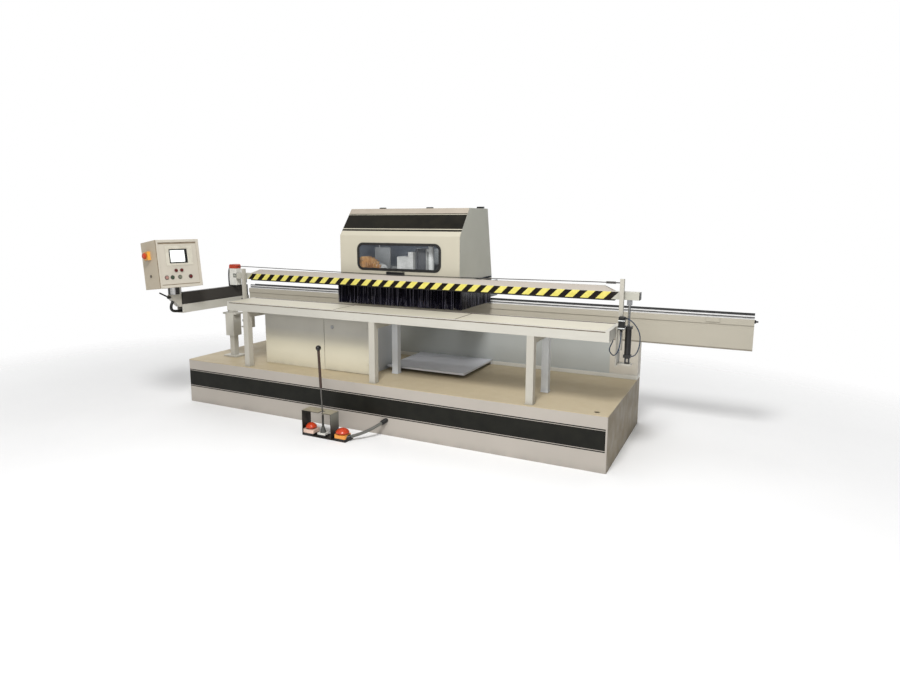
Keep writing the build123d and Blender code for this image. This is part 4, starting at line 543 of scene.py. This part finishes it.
def laminate(name, colour):
    """Worn laminate: fine fibre streaks, dull scratches, dark seams and rubbed edges."""
    shader = Shader(name, edge=0.0015)
    streaks = shader.noise(60, 4, (0.2, 3.0, 3.0))
    shader.colour = shader.shades(streaks, colour, 0.93, 1.04)
    scratch = shader.patches(90, 0.68, 0.75, 0.5, 2, (0.1, 4.0, 1.0))
    shader.lay(scratch, colour, 0.7)
    shader.lay(shader.edges(), colour, 0.6)
    seams = [shader.near(shader.axis(0), place, seam_half) for place in board_seams]
    seams.append(shader.over(shader.axis(1), rear_strip_front))
    shader.lay(shader.either(*seams), (84, 70, 58))
    roughness = shader.remap(streaks, *noise_span, 0.35, 0.55)
    shader.dress(roughness, shader.noise(300), depth=0.0003, specular=0.2)


def metal(name, colour, gloss=(0.22, 0.42)):
    """Drawn or turned metal with fine lines along it and a few dull patches."""
    shader = Shader(name, edge=0.001)
    lines = shader.noise(80, 3, drawn_stretch)
    shader.colour = shader.shades(lines, colour, 0.78, 1.12)
    shader.lay(shader.patches(12, 0.5, 0.7, 0.55, 4), colour, 0.5)
    shader.dress(shader.patchy(30, *gloss), lines, depth=0.0001, rise=0.05, metallic=1.0)


def rail_steel(name, colour):
    """Ground round bar with a painted reflection: its top and underside are painted dark, with a bright
    line left between.
    """
    shader = Shader(name)
    lines = shader.noise(80, 3, drawn_stretch)
    tilt = shader.axis(2, shader.facing)
    top = shader.remap(tilt, 0.25, 0.5, 0.0, 1.0)
    painted_dark_underside = shader.remap(tilt, -0.5, -0.35, 1.0, 0.0)
    shader.colour = shader.shades(lines, colour, 0.9, 1.1)
    # Painted reflection: dark on the top and underside, as a polished bar mirrors a dark hall
    shader.lay(shader.either(top, painted_dark_underside), colour, 0.02)
    shader.dress(shader.patchy(30, 0.3, 0.45), lines, depth=0.0001, rise=0.05, specular=0.15)


def turned_steel_painted_reflection(name, colour, front):
    """Polished round bar with a painted reflection: dark streaks beside a bright streak towards its front.
    """
    shader = Shader(name, edge=0.001)
    side = Vector((-front.y, front.x, 0.0))
    turn = shader.math("ABSOLUTE", shader.vector("DOT_PRODUCT", shader.facing, side))
    dark = shader.both(shader.remap(turn, 0.25, 0.5, 0.0, 1.0), shader.remap(turn, 0.85, 0.98, 1.0, 0.2))
    lines = shader.noise(90, 3, (6.0, 6.0, 0.4))
    shader.colour = shader.shades(lines, colour, 0.92, 1.08)
    # Painted reflection: the streaks beside the front are painted dark
    shader.lay(dark, colour, 0.06)
    shader.dress(shader.patchy(30, 0.2, 0.35), lines, depth=0.0001, rise=0.05, metallic=0.5)


def wire_rope(name, colour):
    """Wire rope whose strands wind round it."""
    shader = Shader(name)
    strands = shader.waves(40, (1.0, 3.2, 3.2))
    shader.colour = shader.shades(strands, colour, 0.3, 1.2, 0.2, 0.8)
    shader.dress(shader.patchy(60, 0.35, 0.6), strands, depth=0.001, rise=0.6, metallic=0.8)


def plastic(name, colour, gloss=(0.3, 0.5), grain=700):
    """Moulded plastic: even grain, faint flow marks, dust on what faces up, scuffed edges."""
    shader = Shader(name, edge=0.0012)
    shader.colour = shader.shades(shader.noise(16, 4, (1.0, 1.0, 2.5)), colour, 0.86, 1.12)
    level = shader.remap(shader.axis(2, shader.facing), 0.6, 1.0, 0.0, 0.25)
    dust_and_sheen = shader.both(level, shader.patches(50, 0.45, 0.75, 0.5, 4))
    shader.lay(dust_and_sheen, (150, 145, 135))
    shader.lay(shader.worn(120, 0.4, 0.6, 0.4), colour, 1.6)
    shader.dress(shader.patchy(40, *gloss), shader.noise(grain, 2), depth=0.0003)


def rubber(name, colour):
    """Dull rubber with a fine nap and pale chalky rubbing."""
    shader = Shader(name, edge=0.0015)
    shader.colour = shader.shades(shader.noise(30, 4), colour, 0.75, 1.3)
    shader.lay(shader.worn(70, 0.4, 0.65, 0.5), colour, 2.6)
    shader.dress(shader.patchy(50, 0.55, 0.8), shader.noise(420), depth=0.0005)


def abrasive(name, light, dark):
    """Abrasive cloth or stone: sharp grit, a tone of its own for each flap, clogged patches."""
    shader = Shader(name)
    each = shader.geometry("Random Per Island")
    shader.colour = shader.mix(shader.remap(each, 0.0, 1.0, 0.0, 0.7), shade(light), shade(dark))
    shader.lay(shader.patches(35, 0.5, 0.75, 0.7, 4), dark, 0.55)
    grit = shader.cells(900)
    shader.lay(shader.remap(grit, 0.0, 0.35, 0.45, 0.0), light, 1.4)
    shader.dress(shader.patchy(60, 0.65, 0.9), grit, depth=0.0006, rise=0.7)


def bristle_plastic(name):
    """Black nylon strands, no two alike, with painted glints: a bluish tint on some strands and a few pale
    ones.
    """
    shader = Shader(name)
    each = shader.geometry("Random Per Island")
    # Painted glints: strands run from black to a bluish tint
    shader.colour = shader.ramp(each, shade((6, 6, 9)), shade((30, 28, 44)), 0.2, 0.95)
    shader.lay(shader.patches(45, 0.6, 0.8, 0.3, 4), (70, 66, 78))
    # Painted glints: a few strands are painted pale
    shader.lay(shader.over(each, 0.91), (136, 134, 150))
    roughness = shader.remap(each, 0.0, 1.0, 0.12, 0.45)
    shader.dress(roughness, shader.noise(700), depth=0.0002, specular=0.25)


def smoked_sheet(name):
    """See-through plastic window with wiped smears and dust."""
    shader = Shader(name)
    smear = shader.noise(18, 4, (1.0, 1.0, 3.5))
    shader.colour = shader.ramp(smear, shade((96, 100, 104)), shade((140, 144, 146)))
    shader.feed(shader.surface.inputs["Alpha"], shader.remap(smear, 0.3, 0.75, 0.03, 0.10))
    shader.dress(shader.remap(smear, *noise_span, 0.06, 0.2), shader.noise(8), depth=0.0004, rise=0.1)


def studio_floor(name):
    """Pale matt studio floor with a barely seen mottle, fading out round the machine."""
    shader = Shader(name)
    shader.colour = shader.mottle(1.2, (246, 246, 246), (250, 250, 250))
    offset = shader.vector("SUBTRACT", shader.place, (*floor_centre, 0.0))
    share = shader.vector("DIVIDE", offset, (*floor_half, 1.0))
    reach = shader.vector("DISTANCE", share, (0.0, 0.0, 0.0))
    shader.feed(shader.surface.inputs["Alpha"], shader.remap(reach, *floor_fade, 1.0, 0.0))
    shader.dress(shader.patchy(6, 0.7, 0.85), shader.noise(200), depth=0.0003, specular=0.1)


def switch_plastic(name):
    """White switch body with a black foot and a square key."""
    shader = Shader(name, edge=0.0015)
    shader.colour = shader.mottle(20, (214, 213, 204), (234, 233, 226))
    foot = shader.under(shader.axis(2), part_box("rope_switch")[0].z + switch_foot)
    shader.lay(foot, (24, 23, 22))
    for half, colour in zip(switch_key_halves, ((70, 72, 66), (176, 178, 168))):
        across, up = (shader.near(shader.axis(2 * index), switch_key[index], half) for index in (0, 1))
        shader.lay(shader.both(shader.front(), across, up), colour)
    shader.lay(shader.worn(90, 0.4, 0.6, 0.5), (150, 146, 138))
    shader.dress(shader.patchy(40, 0.3, 0.48), shader.noise(600), depth=0.0003)


def guard_sheet(name):
    """Black sprayed sheet with a painted sheen: pale tan on top, and grey on the right side's top part."""
    shader = Shader(name, edge=0.0015)
    shader.colour = shader.mottle(18, (34, 31, 28), (52, 48, 44))
    level = shader.remap(shader.axis(2, shader.facing), 0.7, 0.95, 0.0, 1.0)
    high = shader.remap(shader.axis(2), *guard_top_sheen_heights, 0.0, 1.0)
    # Painted sheen: faces that look up, above a height, get a pale tan
    dust_and_sheen = shader.mottle(26, (142, 134, 114), (168, 160, 138))
    shader.lay(shader.both(level, high), dust_and_sheen)
    # Painted sheen: the guard's right side turns grey towards its top
    right = shader.remap(shader.axis(0, shader.facing), 0.7, 0.95, 0.0, 1.0)
    outer = shader.over(shader.axis(0), guard_outer_x)
    upper = shader.remap(shader.axis(2), *guard_side_sheen_heights, 0.0, 0.9)
    shader.lay(shader.both(right, outer, upper), (128, 130, 120))
    shader.lay(shader.worn(60, 0.4, 0.6, 0.6), (120, 114, 104))
    shader.dress(shader.patchy(22, 0.3, 0.5), shader.noise(400), depth=0.0003, rise=0.15, specular=0.3)


def block_plastic(name, colour):
    """A switch block whose lower third is a black base."""
    shader = Shader(name, edge=0.0015)
    shader.colour = shader.shades(shader.noise(30, 4), colour, 0.85, 1.06)
    base = shader.under(shader.axis(2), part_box("foot_blocks")[0].z + block_base)
    shader.lay(base, (22, 21, 20))
    shader.dress(shader.patchy(50, 0.3, 0.5), shader.noise(600), depth=0.0003)


def centre(node):
    """Middle of a CAD node's box."""
    low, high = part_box(node)
    return (low + high) / 2


# The control panel's own axes, from its buttons and the way they are pushed
panel_out = -Vector(joints["start_push"]["axis"])
panel_across = (centre("button_stop") - centre("button_start")).normalized()
panel_up = panel_out.cross(panel_across)
panel_origin = (
    centre("button_start") - start_button_spot[0] * panel_across - start_button_spot[1] * panel_up
)


def panel_spot(shader):
    """Distances across the panel and up from its lower edge."""
    return shader.along(panel_origin, panel_across), shader.along(panel_origin, panel_up)


def panel_gap_shade(shader):
    """Painted shade in the gaps round the panel's door: dark lines along the top, bottom and left edge of
    its front.
    """
    across, up = panel_spot(shader)
    lines = shader.either(shader.between(up, *panel_top_line), shader.between(up, *panel_bottom_line))
    level = shader.both(lines, shader.near(across, 0.0, panel_line_half))
    mask = shader.either(level, shader.under(across, panel_left_edge))
    shader.lay(mask, shader.mottle(40, (126, 112, 94), (146, 132, 112), 3))


def display_plastic(name):
    """Panel fittings: pale bezel, black-framed lit page, red lamps, yellow stop collar, dark plug."""
    shader = Shader(name, edge=0.0012)
    across, up = panel_spot(shader)

    def window(half, shift=0.0):
        width = shader.near(across, display_centre[0] + shift, half[0])
        return shader.both(width, shader.near(up, display_centre[1], half[1]))

    shader.colour = shader.mottle(20, (198, 192, 176), (216, 211, 196))
    shader.lay(window(display_frame), (26, 27, 27))
    page = window(display_page, display_page_shift)
    rows = shader.waves(90, panel_up)
    print_marks = shader.both(rows, shader.noise(40))
    paper = shader.ramp(print_marks, shade((246, 248, 246)), shade((216, 224, 214)), 0.35, 0.6)
    shader.lay(page, paper)
    lamps = shader.both(shader.between(up, *lamp_heights), shader.between(across, *lamp_span))
    shader.lay(lamps, shader.mottle(90, (70, 22, 22), (104, 34, 32), 3))
    left = shader.under(across, -panel_half)
    collar = shader.both(left, shader.over(up, stop_collar_bottom))
    shader.lay(collar, (236, 168, 66))
    plug = shader.both(left, shader.under(up, stop_collar_bottom))
    shader.lay(plug, (66, 60, 48))
    glow = shader.both(page, shader.remap(rows, 0.0, 1.0, 0.45, 0.55))
    shader.feed(shader.surface.inputs["Emission Color"], paper)
    shader.feed(shader.surface.inputs["Emission Strength"], glow)
    shader.dress(shader.patchy(40, 0.25, 0.42), shader.noise(500), depth=0.0003)


# Materials by their recipe: the CAD nodes that each dresses, its display colour, and what else it takes
finishes = {
    sheet_paint: {
        "base_cream": ("base_plinth", (178, 171, 162), base_band),
        "hood_cream": ("hood_cover hood_back", (195, 189, 171), hood_band),
        "hood_side_grey": ("", (191, 191, 179)),
        "beam_cream": ("clamp_beam", (190, 188, 176), beam_stripes),
        "cream_paint": ("cabinet_body cabinet_panel cabinet_door", (220, 214, 193), cabinet_top_shadow),
        "rail_cream": ("rail_beam", (186, 180, 165), rail_lip_shade),
        "table_cream": ("table_frame", (197, 194, 184), table_joint_shadow),
        "panel_grey": ("panel_box", (198, 186, 164)),
        # The panel's front, painted paler than its sides as painted light
        "panel_front_grey": ("", (202, 195, 181), panel_gap_shade),
        "arm_grey": ("panel_arm panel_column", (196, 193, 183)),
        "grey_paint": ("table_trestles clamp_stands", (188, 184, 173)),
        "wall_grey": ("rear_wall", (180, 183, 180), wall_parts),
        # Paler cool grey that paints light onto parts that stand in shade
        "cool_grey": ("", (218, 222, 226)),
        "deck_tan": ("base_deck", (188, 174, 146), None, (0.4, 0.6)),
        "tray_grey": ("dust_tray", (226, 228, 234)),
        "machine_grey": ("carriage_saddle tool_rail unit_motors drive_motor", (150, 154, 156)),
        "inside_grey": ("", (118, 126, 138)),
        "white_paint": ("", (226, 228, 226)),
        "block_grey": ("", (92, 94, 98)),
        "fence_graphite": ("arm_fence", (66, 63, 60)),
    },
    plastic: {
        "black_anodised": ("clamp_cylinders brush_holder", (38, 37, 36), (0.32, 0.46), 900),
        "black_plastic": ("beam_caps hood_handle clamp_lever conduit_glands switchgear", (24, 24, 24)),
        "brown_grip": ("", (64, 46, 36), (0.35, 0.55), 260),
        "ball_black": ("", (18, 17, 17), (0.08, 0.16), 300),
        "red_plastic": ("pedal_left pedal_right estop_button", (194, 62, 28), (0.2, 0.34)),
        "dark_red_plastic": ("button_stop", (96, 30, 30), (0.25, 0.4)),
        "rope_red": ("", (186, 62, 34), (0.25, 0.4)),
        "pale_red_plastic": ("button_start", (170, 128, 118), (0.25, 0.4)),
        "green_plastic": ("button_green", (64, 78, 60), (0.25, 0.4)),
        "grey_plastic": ("button_grey", (122, 124, 108), (0.25, 0.4)),
        "conduit_grey": ("", (104, 104, 98), (0.35, 0.5)),
        "hose_blue": ("", (44, 58, 78), (0.22, 0.36)),
        "lead_black": ("", (13, 13, 13), (0.35, 0.5)),
    },
    laminate: {"board_laminate": ("table_boards", (213, 207, 189))},
    metal: {
        "bright_steel": ("piston_rods drive_pulley door_lock", (186, 187, 188)),
        "dull_steel": ("bearing_blocks", (120, 118, 114), (0.4, 0.6)),
    },
    rail_steel: {"rail_steel": ("guide_rails", (236, 236, 236))},
    turned_steel_painted_reflection: {"hub_steel": ("", (232, 232, 232), Vector((0.5, -0.866, 0.0)))},
    wire_rope: {"rope_wire": ("pull_rope", (92, 90, 88))},
    rubber: {
        "black_rubber": ("clamp_pad window_gasket drive_belt", (30, 29, 28)),
        "boot_grey": ("", (78, 78, 74)),
    },
    abrasive: {
        "abrasive_cloth": ("", (250, 204, 136), (184, 112, 58)),
        "abrasive_stone": ("profile_wheel", (176, 160, 138), (128, 112, 92)),
    },
    block_plastic: {
        "pale_block": ("", (226, 196, 178)),
        "white_block": ("foot_blocks", (222, 220, 212)),
        "amber_block": ("", (240, 162, 70)),
    },
    guard_sheet: {"guard_black": ("foot_guard carry_rod",)},
    smoked_sheet: {"window_sheet": ("window_pane",)},
    bristle_plastic: {"bristle_nylon": ("",)},
    switch_plastic: {"switch_white": ("rope_switch",)},
    display_plastic: {"panel_display": ("panel_fittings",)},
    studio_floor: {"studio_floor": ("",)},
}


def paint_nodes():
    """Make every material, and give the CAD nodes theirs."""
    for recipe, rows in finishes.items():
        for name, (nodes, *values) in rows.items():
            recipe(name, *values)
            for node in nodes.split():
                mesh = frame["nodes"][node].data
                mesh.materials.clear()
                mesh.materials.append(materials[name])


def paint_faces(node, material, test):
    """Give the faces of a CAD node that pass a test a further material."""
    mesh = frame["nodes"][node].data
    mesh.materials.append(materials[material])
    for face in mesh.polygons:
        if test(face):
            face.material_index = len(mesh.materials) - 1


def paint_facing(node, material, direction):
    """Give the faces of a CAD node that look along a direction a further material."""
    paint_faces(node, material, lambda face: face.normal.dot(direction) > face_square)


def paint_details():
    """Further materials on some faces of the CAD nodes."""
    for side in (-1, 1):
        paint_facing("hood_cover", "hood_side_grey", Vector((side, 0, 0)))
    # Painted light: the cabinet's right side gets a paler cool grey, for how light falls on it
    paint_facing("cabinet_body", "cool_grey", Vector((1, 0, 0)))
    # Painted light: the panel's front gets a paler tone than its sides, for how light falls on it
    paint_facing("panel_box", "panel_front_grey", panel_out)
    left, right = centre("pedal_left").x, centre("pedal_right").x
    switch_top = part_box("rope_switch")[0].z + switch_body
    ball_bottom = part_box("carry_rod")[1].z - rod_ball
    steel_low, steel_high = rod_steel_heights
    grip_low, grip_high = rod_grip_heights
    plate_left, plate_right = plate_edges
    hub_axis = Vector(joints["panel_swivel"]["pos_m"]).xy

    def in_hood(face):
        return (hood_middle - face.center).dot(face.normal) > 0

    def on_hub(face):
        return math.dist(face.center.xy, hub_axis) < panel_hub_radius and face.center.z < panel_hub_top

    for node, material, test in (
        ("hood_cover", "inside_grey", in_hood),
        ("hood_cover", "lead_black", lambda face: face.center.z > hood_top),
        ("hood_back", "inside_grey", in_hood),
        ("hood_back", "lead_black", lambda face: face.center.z > hood_top),
        ("rope_switch", "rope_red", lambda face: face.center.z > switch_top),
        ("foot_blocks", "pale_block", lambda face: abs(face.center.x - left) < block_half),
        ("foot_blocks", "amber_block", lambda face: abs(face.center.x - right) < block_half),
        ("foot_blocks", "boot_grey", lambda face: (
            left + block_half < face.center.x < right - block_half and face.center.z > boot_bottom
        )),
        ("carry_rod", "dull_steel", lambda face: steel_low < face.center.z < steel_high),
        ("carry_rod", "brown_grip", lambda face: grip_low < face.center.z < grip_high),
        ("carry_rod", "ball_black", lambda face: ball_bottom < face.center.z),
        # Painted light: the rear legs get a paler cool grey, lifting the shade they stand in
        ("table_trestles", "cool_grey", lambda face: face.center.y > rear_leg_front),
        ("panel_box", "hub_steel", on_hub),
        ("panel_arm", "bright_steel", lambda face: face.center.z > bracket_top),
        ("panel_arm", "grey_paint", lambda face: (
            face.center.y < arm_front and face.center.z <= bracket_top
        )),
        ("unit_motors", "white_paint", lambda face: not plate_left <= face.center.x <= plate_right),
        ("unit_motors", "block_grey", lambda face: plate_left < face.center.x < plate_right),
    ):
        paint_faces(node, material, test)


def add_object(name, data):
    """Put an object into the scene."""
    made = bpy.data.objects.new(name, data)
    bpy.context.scene.collection.objects.link(made)
    return made


def circle(middle, across, beside, radius, sides):
    """Points of a circle in the plane of two directions."""
    points = []
    for step in range(sides):
        angle = 2 * math.pi * step / sides
        points.append(middle + radius * (math.cos(angle) * across + math.sin(angle) * beside))
    return points


class Form:
    """Points and faces of one mesh piece while it is built."""

    def __init__(self):
        self.points = []
        self.faces = []

    def skin(self, rows, closed=True):
        """Join rows of points with four-sided faces, as a capped tube or as a sheet."""
        start, width = len(self.points), len(rows[0])
        for row in rows:
            self.points.extend(row)
        for step in range(len(rows) - 1):
            for place in range(width if closed else width - 1):
                low = start + step * width + place
                side = start + step * width + (place + 1) % width
                self.faces.append((low, side, side + width, low + width))
        if closed:
            last = start + (len(rows) - 1) * width
            self.faces.append(tuple(range(start + width - 1, start - 1, -1)))
            self.faces.append(tuple(range(last, last + width)))

    def slab(self, middle, half, bottom, top, bevel):
        """An upright block whose edges are cut off."""
        rows = []
        for inset, height in ((bevel, bottom), (0.0, bottom + bevel), (0.0, top - bevel), (bevel, top)):
            wide, deep = half.x - inset, half.y - inset
            outline = (
                (-wide + bevel, -deep), (wide - bevel, -deep), (wide, -deep + bevel), (wide, deep - bevel),
                (wide - bevel, deep), (-wide + bevel, deep), (-wide, deep - bevel), (-wide, -deep + bevel),
            )
            rows.append([Vector((middle.x + x, middle.y + y, height)) for x, y in outline])
        self.skin(rows)

    def lathe(self, profile, origin, axis, sides=32):
        """Turn a profile of (radius, distance along the axis) round an axis."""
        across = axis.orthogonal().normalized()
        beside = axis.cross(across)
        self.skin([
            circle(origin + distance * axis, across, beside, radius, sides)
            for radius, distance in profile
        ])

    def tube(self, path, radii, sides):
        """A round tube along a line, carried along it without twist."""
        side = (path[1] - path[0]).orthogonal().normalized()
        rows = []
        for step, (point, radius) in enumerate(zip(path, radii)):
            ahead = (path[min(step + 1, len(path) - 1)] - path[max(step - 1, 0)]).normalized()
            side = (side - side.dot(ahead) * ahead).normalized()
            rows.append(circle(point, side, ahead.cross(side), radius, sides))
        self.skin(rows)

    def made(self, name, material):
        """The mesh as an object with a material."""
        mesh = bpy.data.meshes.new(name)
        mesh.from_pydata(self.points, [], self.faces)
        mesh.materials.append(materials[material])
        return add_object(name, mesh)

    def piece(self, name, material, body, slot, *replaced):
        """The mesh as a smooth object that rides a body."""
        made = self.made(name, material)
        made.data.shade_smooth()
        made.data.set_sharp_from_angle(angle=smooth_angle)
        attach(made, body)
        if replaced:
            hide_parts(*replaced)
        return made


def smooth_route(name, points, resolution):
    """Points along the smooth curve that a route's points guide."""
    curve = bpy.data.curves.new(name, "CURVE")
    curve.dimensions = "3D"
    spline = curve.splines.new("NURBS")
    spline.points.add(len(points) - 1)
    for target, point in zip(spline.points, points):
        target.co = (*point, 1.0)
    spline.order_u = 3
    spline.use_endpoint_u = True
    spline.resolution_u = resolution
    holder = bpy.data.objects.new(name, curve)
    line = bpy.data.meshes.new_from_object(holder)
    path = [vertex.co.copy() for vertex in line.vertices]
    bpy.data.objects.remove(holder)
    bpy.data.curves.remove(curve)
    bpy.data.meshes.remove(line)
    return path


def set_camera():
    """The photo's camera."""
    ahead = Vector((
        -math.sin(camera_yaw) * math.cos(camera_pitch),
        math.cos(camera_yaw) * math.cos(camera_pitch),
        math.sin(camera_pitch),
    ))
    across = Vector((math.cos(camera_yaw), math.sin(camera_yaw), 0.0))
    data = bpy.data.cameras.new("photo_camera")
    data.sensor_width = sensor_width
    data.lens = photo_focus / photo_width * sensor_width
    data.shift_x = (photo_width / 2 - photo_centre_x) / photo_width
    data.shift_y = (photo_centre_y - photo_height / 2) / photo_width
    camera = add_object("photo_camera", data)
    turn = Matrix((across, across.cross(ahead), -ahead)).transposed()
    camera.matrix_world = Matrix.Translation(camera_place) @ turn.to_4x4()
    bpy.context.scene.camera = camera


def make_conduit():
    """The ribbed conduit, the one free cord."""
    path = smooth_route("conduit_line", conduit_route, conduit_resolution)
    radii = []
    distance = 0.0
    for before, point in zip(path[:1] + path, path):
        distance += (point - before).length
        wave = math.cos(2 * math.pi * distance / conduit_rib_pitch)
        radii.append(conduit_diameter / 2 - conduit_rib_depth * (1 - wave) / 2)
    form = Form()
    form.tube(path, radii, conduit_sides)
    conduit = form.piece("conduit", "conduit_grey", "base", "grey_hose", "conduit_hose")


def make_hoses():
    """Air hoses of the right-hand cylinder, the rope switch's lead and the panel's cable."""
    air, leads = Form(), Form()
    for form, name, route, diameter, sides in (
        (air, "feed_line", feed_route, air_hose_diameter, hose_sides),
        (air, "bridge_line", bridge_route, air_hose_diameter, hose_sides),
        (leads, "lead_line", lead_route, lead_diameter, lead_sides),
        (leads, "cable_line", cable_route, cable_diameter, lead_sides),
    ):
        path = smooth_route(name, route, hose_resolution)
        form.tube(path, [diameter / 2] * len(path), sides)
    air.piece("air_lines", "hose_blue", "base", "hose_plastic", "air_hoses")
    leads.piece("black_leads", "lead_black", "base", "hose_plastic")


def make_valve():
    """The air valve: a dark body with two pale plates round it and two hose collars."""
    middle = (valve_low + valve_high) / 2
    half = (valve_high - valve_low) / 2
    body = Form()
    body.slab(middle.xy, half.xy, valve_low.z, valve_high.z, valve_bevel)
    for route, axis in ((feed_route, Vector((0, 0, -1))), (bridge_route, Vector((1, 0, 0)))):
        body.lathe(collar_profile, Vector(route[0]), axis, collar_sides)
    body.piece("valve_body", "black_plastic", "base", "black_plastic")
    plates = Form()
    centre_line = middle.xy - Vector((0.0, valve_overhang / 2))
    reach = half.xy + Vector((valve_overhang, valve_overhang / 2))
    for height in valve_plate_heights:
        plates.slab(centre_line, reach, height, height + valve_plate, valve_plate_bevel)
    plates.piece("valve_plates", "white_paint", "base", "grey_paint")


def make_brush(node):
    """A dense curtain of bent, tapered strands under its backing."""
    low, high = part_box(node)
    size = high - low
    lengthwise, crosswise = Vector((1, 0, 0)), Vector((0, 1, 0))
    if size.x <= size.y:
        lengthwise, crosswise = crosswise, lengthwise
    length, thickness = max(size.x, size.y), min(size.x, size.y)
    start = low + crosswise * thickness / 2
    root_z = high.z - backing_height
    chance = random.Random(node)
    form = Form()
    side, clip = thickness / 2, backing_clip
    outline = (
        (-side, root_z), (side, root_z), (side, high.z - clip),
        (side - clip, high.z), (clip - side, high.z), (-side, high.z - clip),
    )
    ends = []
    for reach in (0.0, length):
        along = start + reach * lengthwise
        ends.append([Vector((*(along + offset * crosswise).xy, z)) for offset, z in outline])
    form.skin(ends)
    for row in range(strand_rows):
        offset = thickness * ((row + 0.5) / strand_rows - 0.5) * strand_fill
        for count in range(int(length / strand_spacing)):
            reach = (count + chance.random()) * strand_spacing
            reach = min(max(reach, strand_margin), length - strand_margin)
            root = start + reach * lengthwise + offset * crosswise
            root.z = root_z
            clump = strand_splay * math.sin(reach * clump_rate + row) + chance.gauss(0, strand_splay / 2)
            spread = offset * strand_flare + chance.gauss(0, strand_splay / 2)
            lean = clump * lengthwise + spread * crosswise
            drop = root_z - low.z - chance.random() ** 2 * strand_wear
            radius = chance.uniform(*strand_thickness)
            rows = []
            for step in range(strand_steps + 1):
                share = step / strand_steps
                middle = root + lean * share**2 - Vector((0, 0, drop * share))
                width = radius * (1 - strand_taper * share)
                rows.append([
                    middle + width * (math.cos(angle) * lengthwise + math.sin(angle) * crosswise)
                    for angle in strand_angles
                ])
            form.skin(rows)
    form.piece(node + "_strands", "bristle_nylon", "carriage", "bristle", node)


def make_flap_wheel(name, node, body, axis, count, strips, hub_radius, shaft_radius, width):
    """A wheel of swept abrasive flaps, slit into strips, clamped between two flanges."""
    low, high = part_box(node)
    middle = (low + high) / 2
    axis = Vector(axis)
    across = axis.orthogonal().normalized()
    beside = axis.cross(across)
    spread = (high - low) - (high - low).dot(axis) * axis
    radius = max(spread) / 2
    front = middle - axis * (middle - low).dot(axis)
    root = hub_radius * flap_root
    chance = random.Random(node)
    form = Form()
    for flap in range(count):
        turn = 2 * math.pi * flap / count
        for strip in range(strips):
            near = width * (strip + slit_share) / strips
            far = width * (strip + 1 - slit_share) / strips
            sweep = flap_sweep + chance.gauss(0, flap_sweep_spread)
            tip = radius - chance.random() * radius * flap_wear
            rows = []
            for step in range(flap_steps + 1):
                share = step / flap_steps
                angle = turn - sweep * share**2
                spoke = math.cos(angle) * across + math.sin(angle) * beside
                flat = math.cos(angle) * beside - math.sin(angle) * across
                point = front + (root + (tip - root) * share) * spoke
                half = flap_thickness / 2 * flat
                rows.append([
                    point + near * axis - half, point + far * axis - half,
                    point + far * axis + half, point + near * axis + half,
                ])
            form.skin(rows)
    form.piece(name, "abrasive_cloth", body, "abrasive_cloth", node)
    hub = Form()
    lip = hub_radius * flange_lip
    shaft_end = (high - low).dot(axis)
    nut_hole, nut_face, nut_foot, collar = (shaft_radius * share for share in nut_shares)
    profile = (
        (nut_hole, -lip), (nut_face, -lip), (nut_foot, 0.0), (hub_radius - lip, 0.0), (hub_radius, lip),
        (hub_radius, width - lip), (hub_radius - lip, width), (collar, width),
        (shaft_radius, width + lip), (shaft_radius, shaft_end),
    )
    hub.lathe(profile, front, axis)
    hub.piece(name + "_hub", "dull_steel", body, "steel")


def make_button_rings():
    """Pressed metal rings round the panel's buttons."""
    form = Form()
    for node in ("button_start", "button_green", "button_grey", "button_stop"):
        form.lathe(ring_profile, centre(node) + ring_rise * panel_out, panel_out, ring_sides)
    form.piece("button_rings", "dull_steel", "panel", "steel")


def make_surround():
    """Bright surround behind the machine, dimmer in front and to the right, brighter overhead."""
    world = bpy.data.worlds.new("studio_surround")
    world.use_nodes = True
    bpy.context.scene.world = world
    room = Nodes(world.node_tree)
    direction = room.add("ShaderNodeTexCoord", "Generated")
    parts = []
    for axis, *limits in room_parts:
        parts.append(room.remap(room.vector("DOT_PRODUCT", direction, axis), *limits))
    background = world.node_tree.nodes["Background"]
    background.inputs["Color"].default_value = (1.0, 1.0, 1.0, 1.0)
    room.feed(background.inputs["Strength"], room.both(*parts))


def make_studio():
    """Pale floor, surround, two large soft lights and a lamp inside the hood."""
    form = Form()
    xs, ys = (
        [middle + step * half for step in floor_steps] for middle, half in zip(floor_centre, floor_half)
    )
    form.skin([[Vector((x, y, 0.0)) for x in xs] for y in ys], closed=False)
    floor = form.made("studio_floor", "studio_floor")
    make_surround()
    for name, (place, size, power, aim) in lights.items():
        light = bpy.data.lights.new(name, "AREA")
        light.shape = "RECTANGLE"
        light.size, light.size_y = size
        light.energy = power
        lamp = add_object(name, light)
        lamp.location = place
        lamp.rotation_euler = (aim - place).to_track_quat("-Z", "Y").to_euler()
        if name == "hood_lamp":
            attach(lamp, "carriage")
    bpy.context.scene.view_settings.view_transform = "Standard"


paint_nodes()
paint_details()
set_camera()
make_conduit()
make_hoses()
make_valve()
for brush in ("brush_front", "brush_left", "brush_right"):
    make_brush(brush)
for wheel, sizes in flap_wheels.items():
    make_flap_wheel(wheel, *sizes)
make_button_rings()
make_studio()
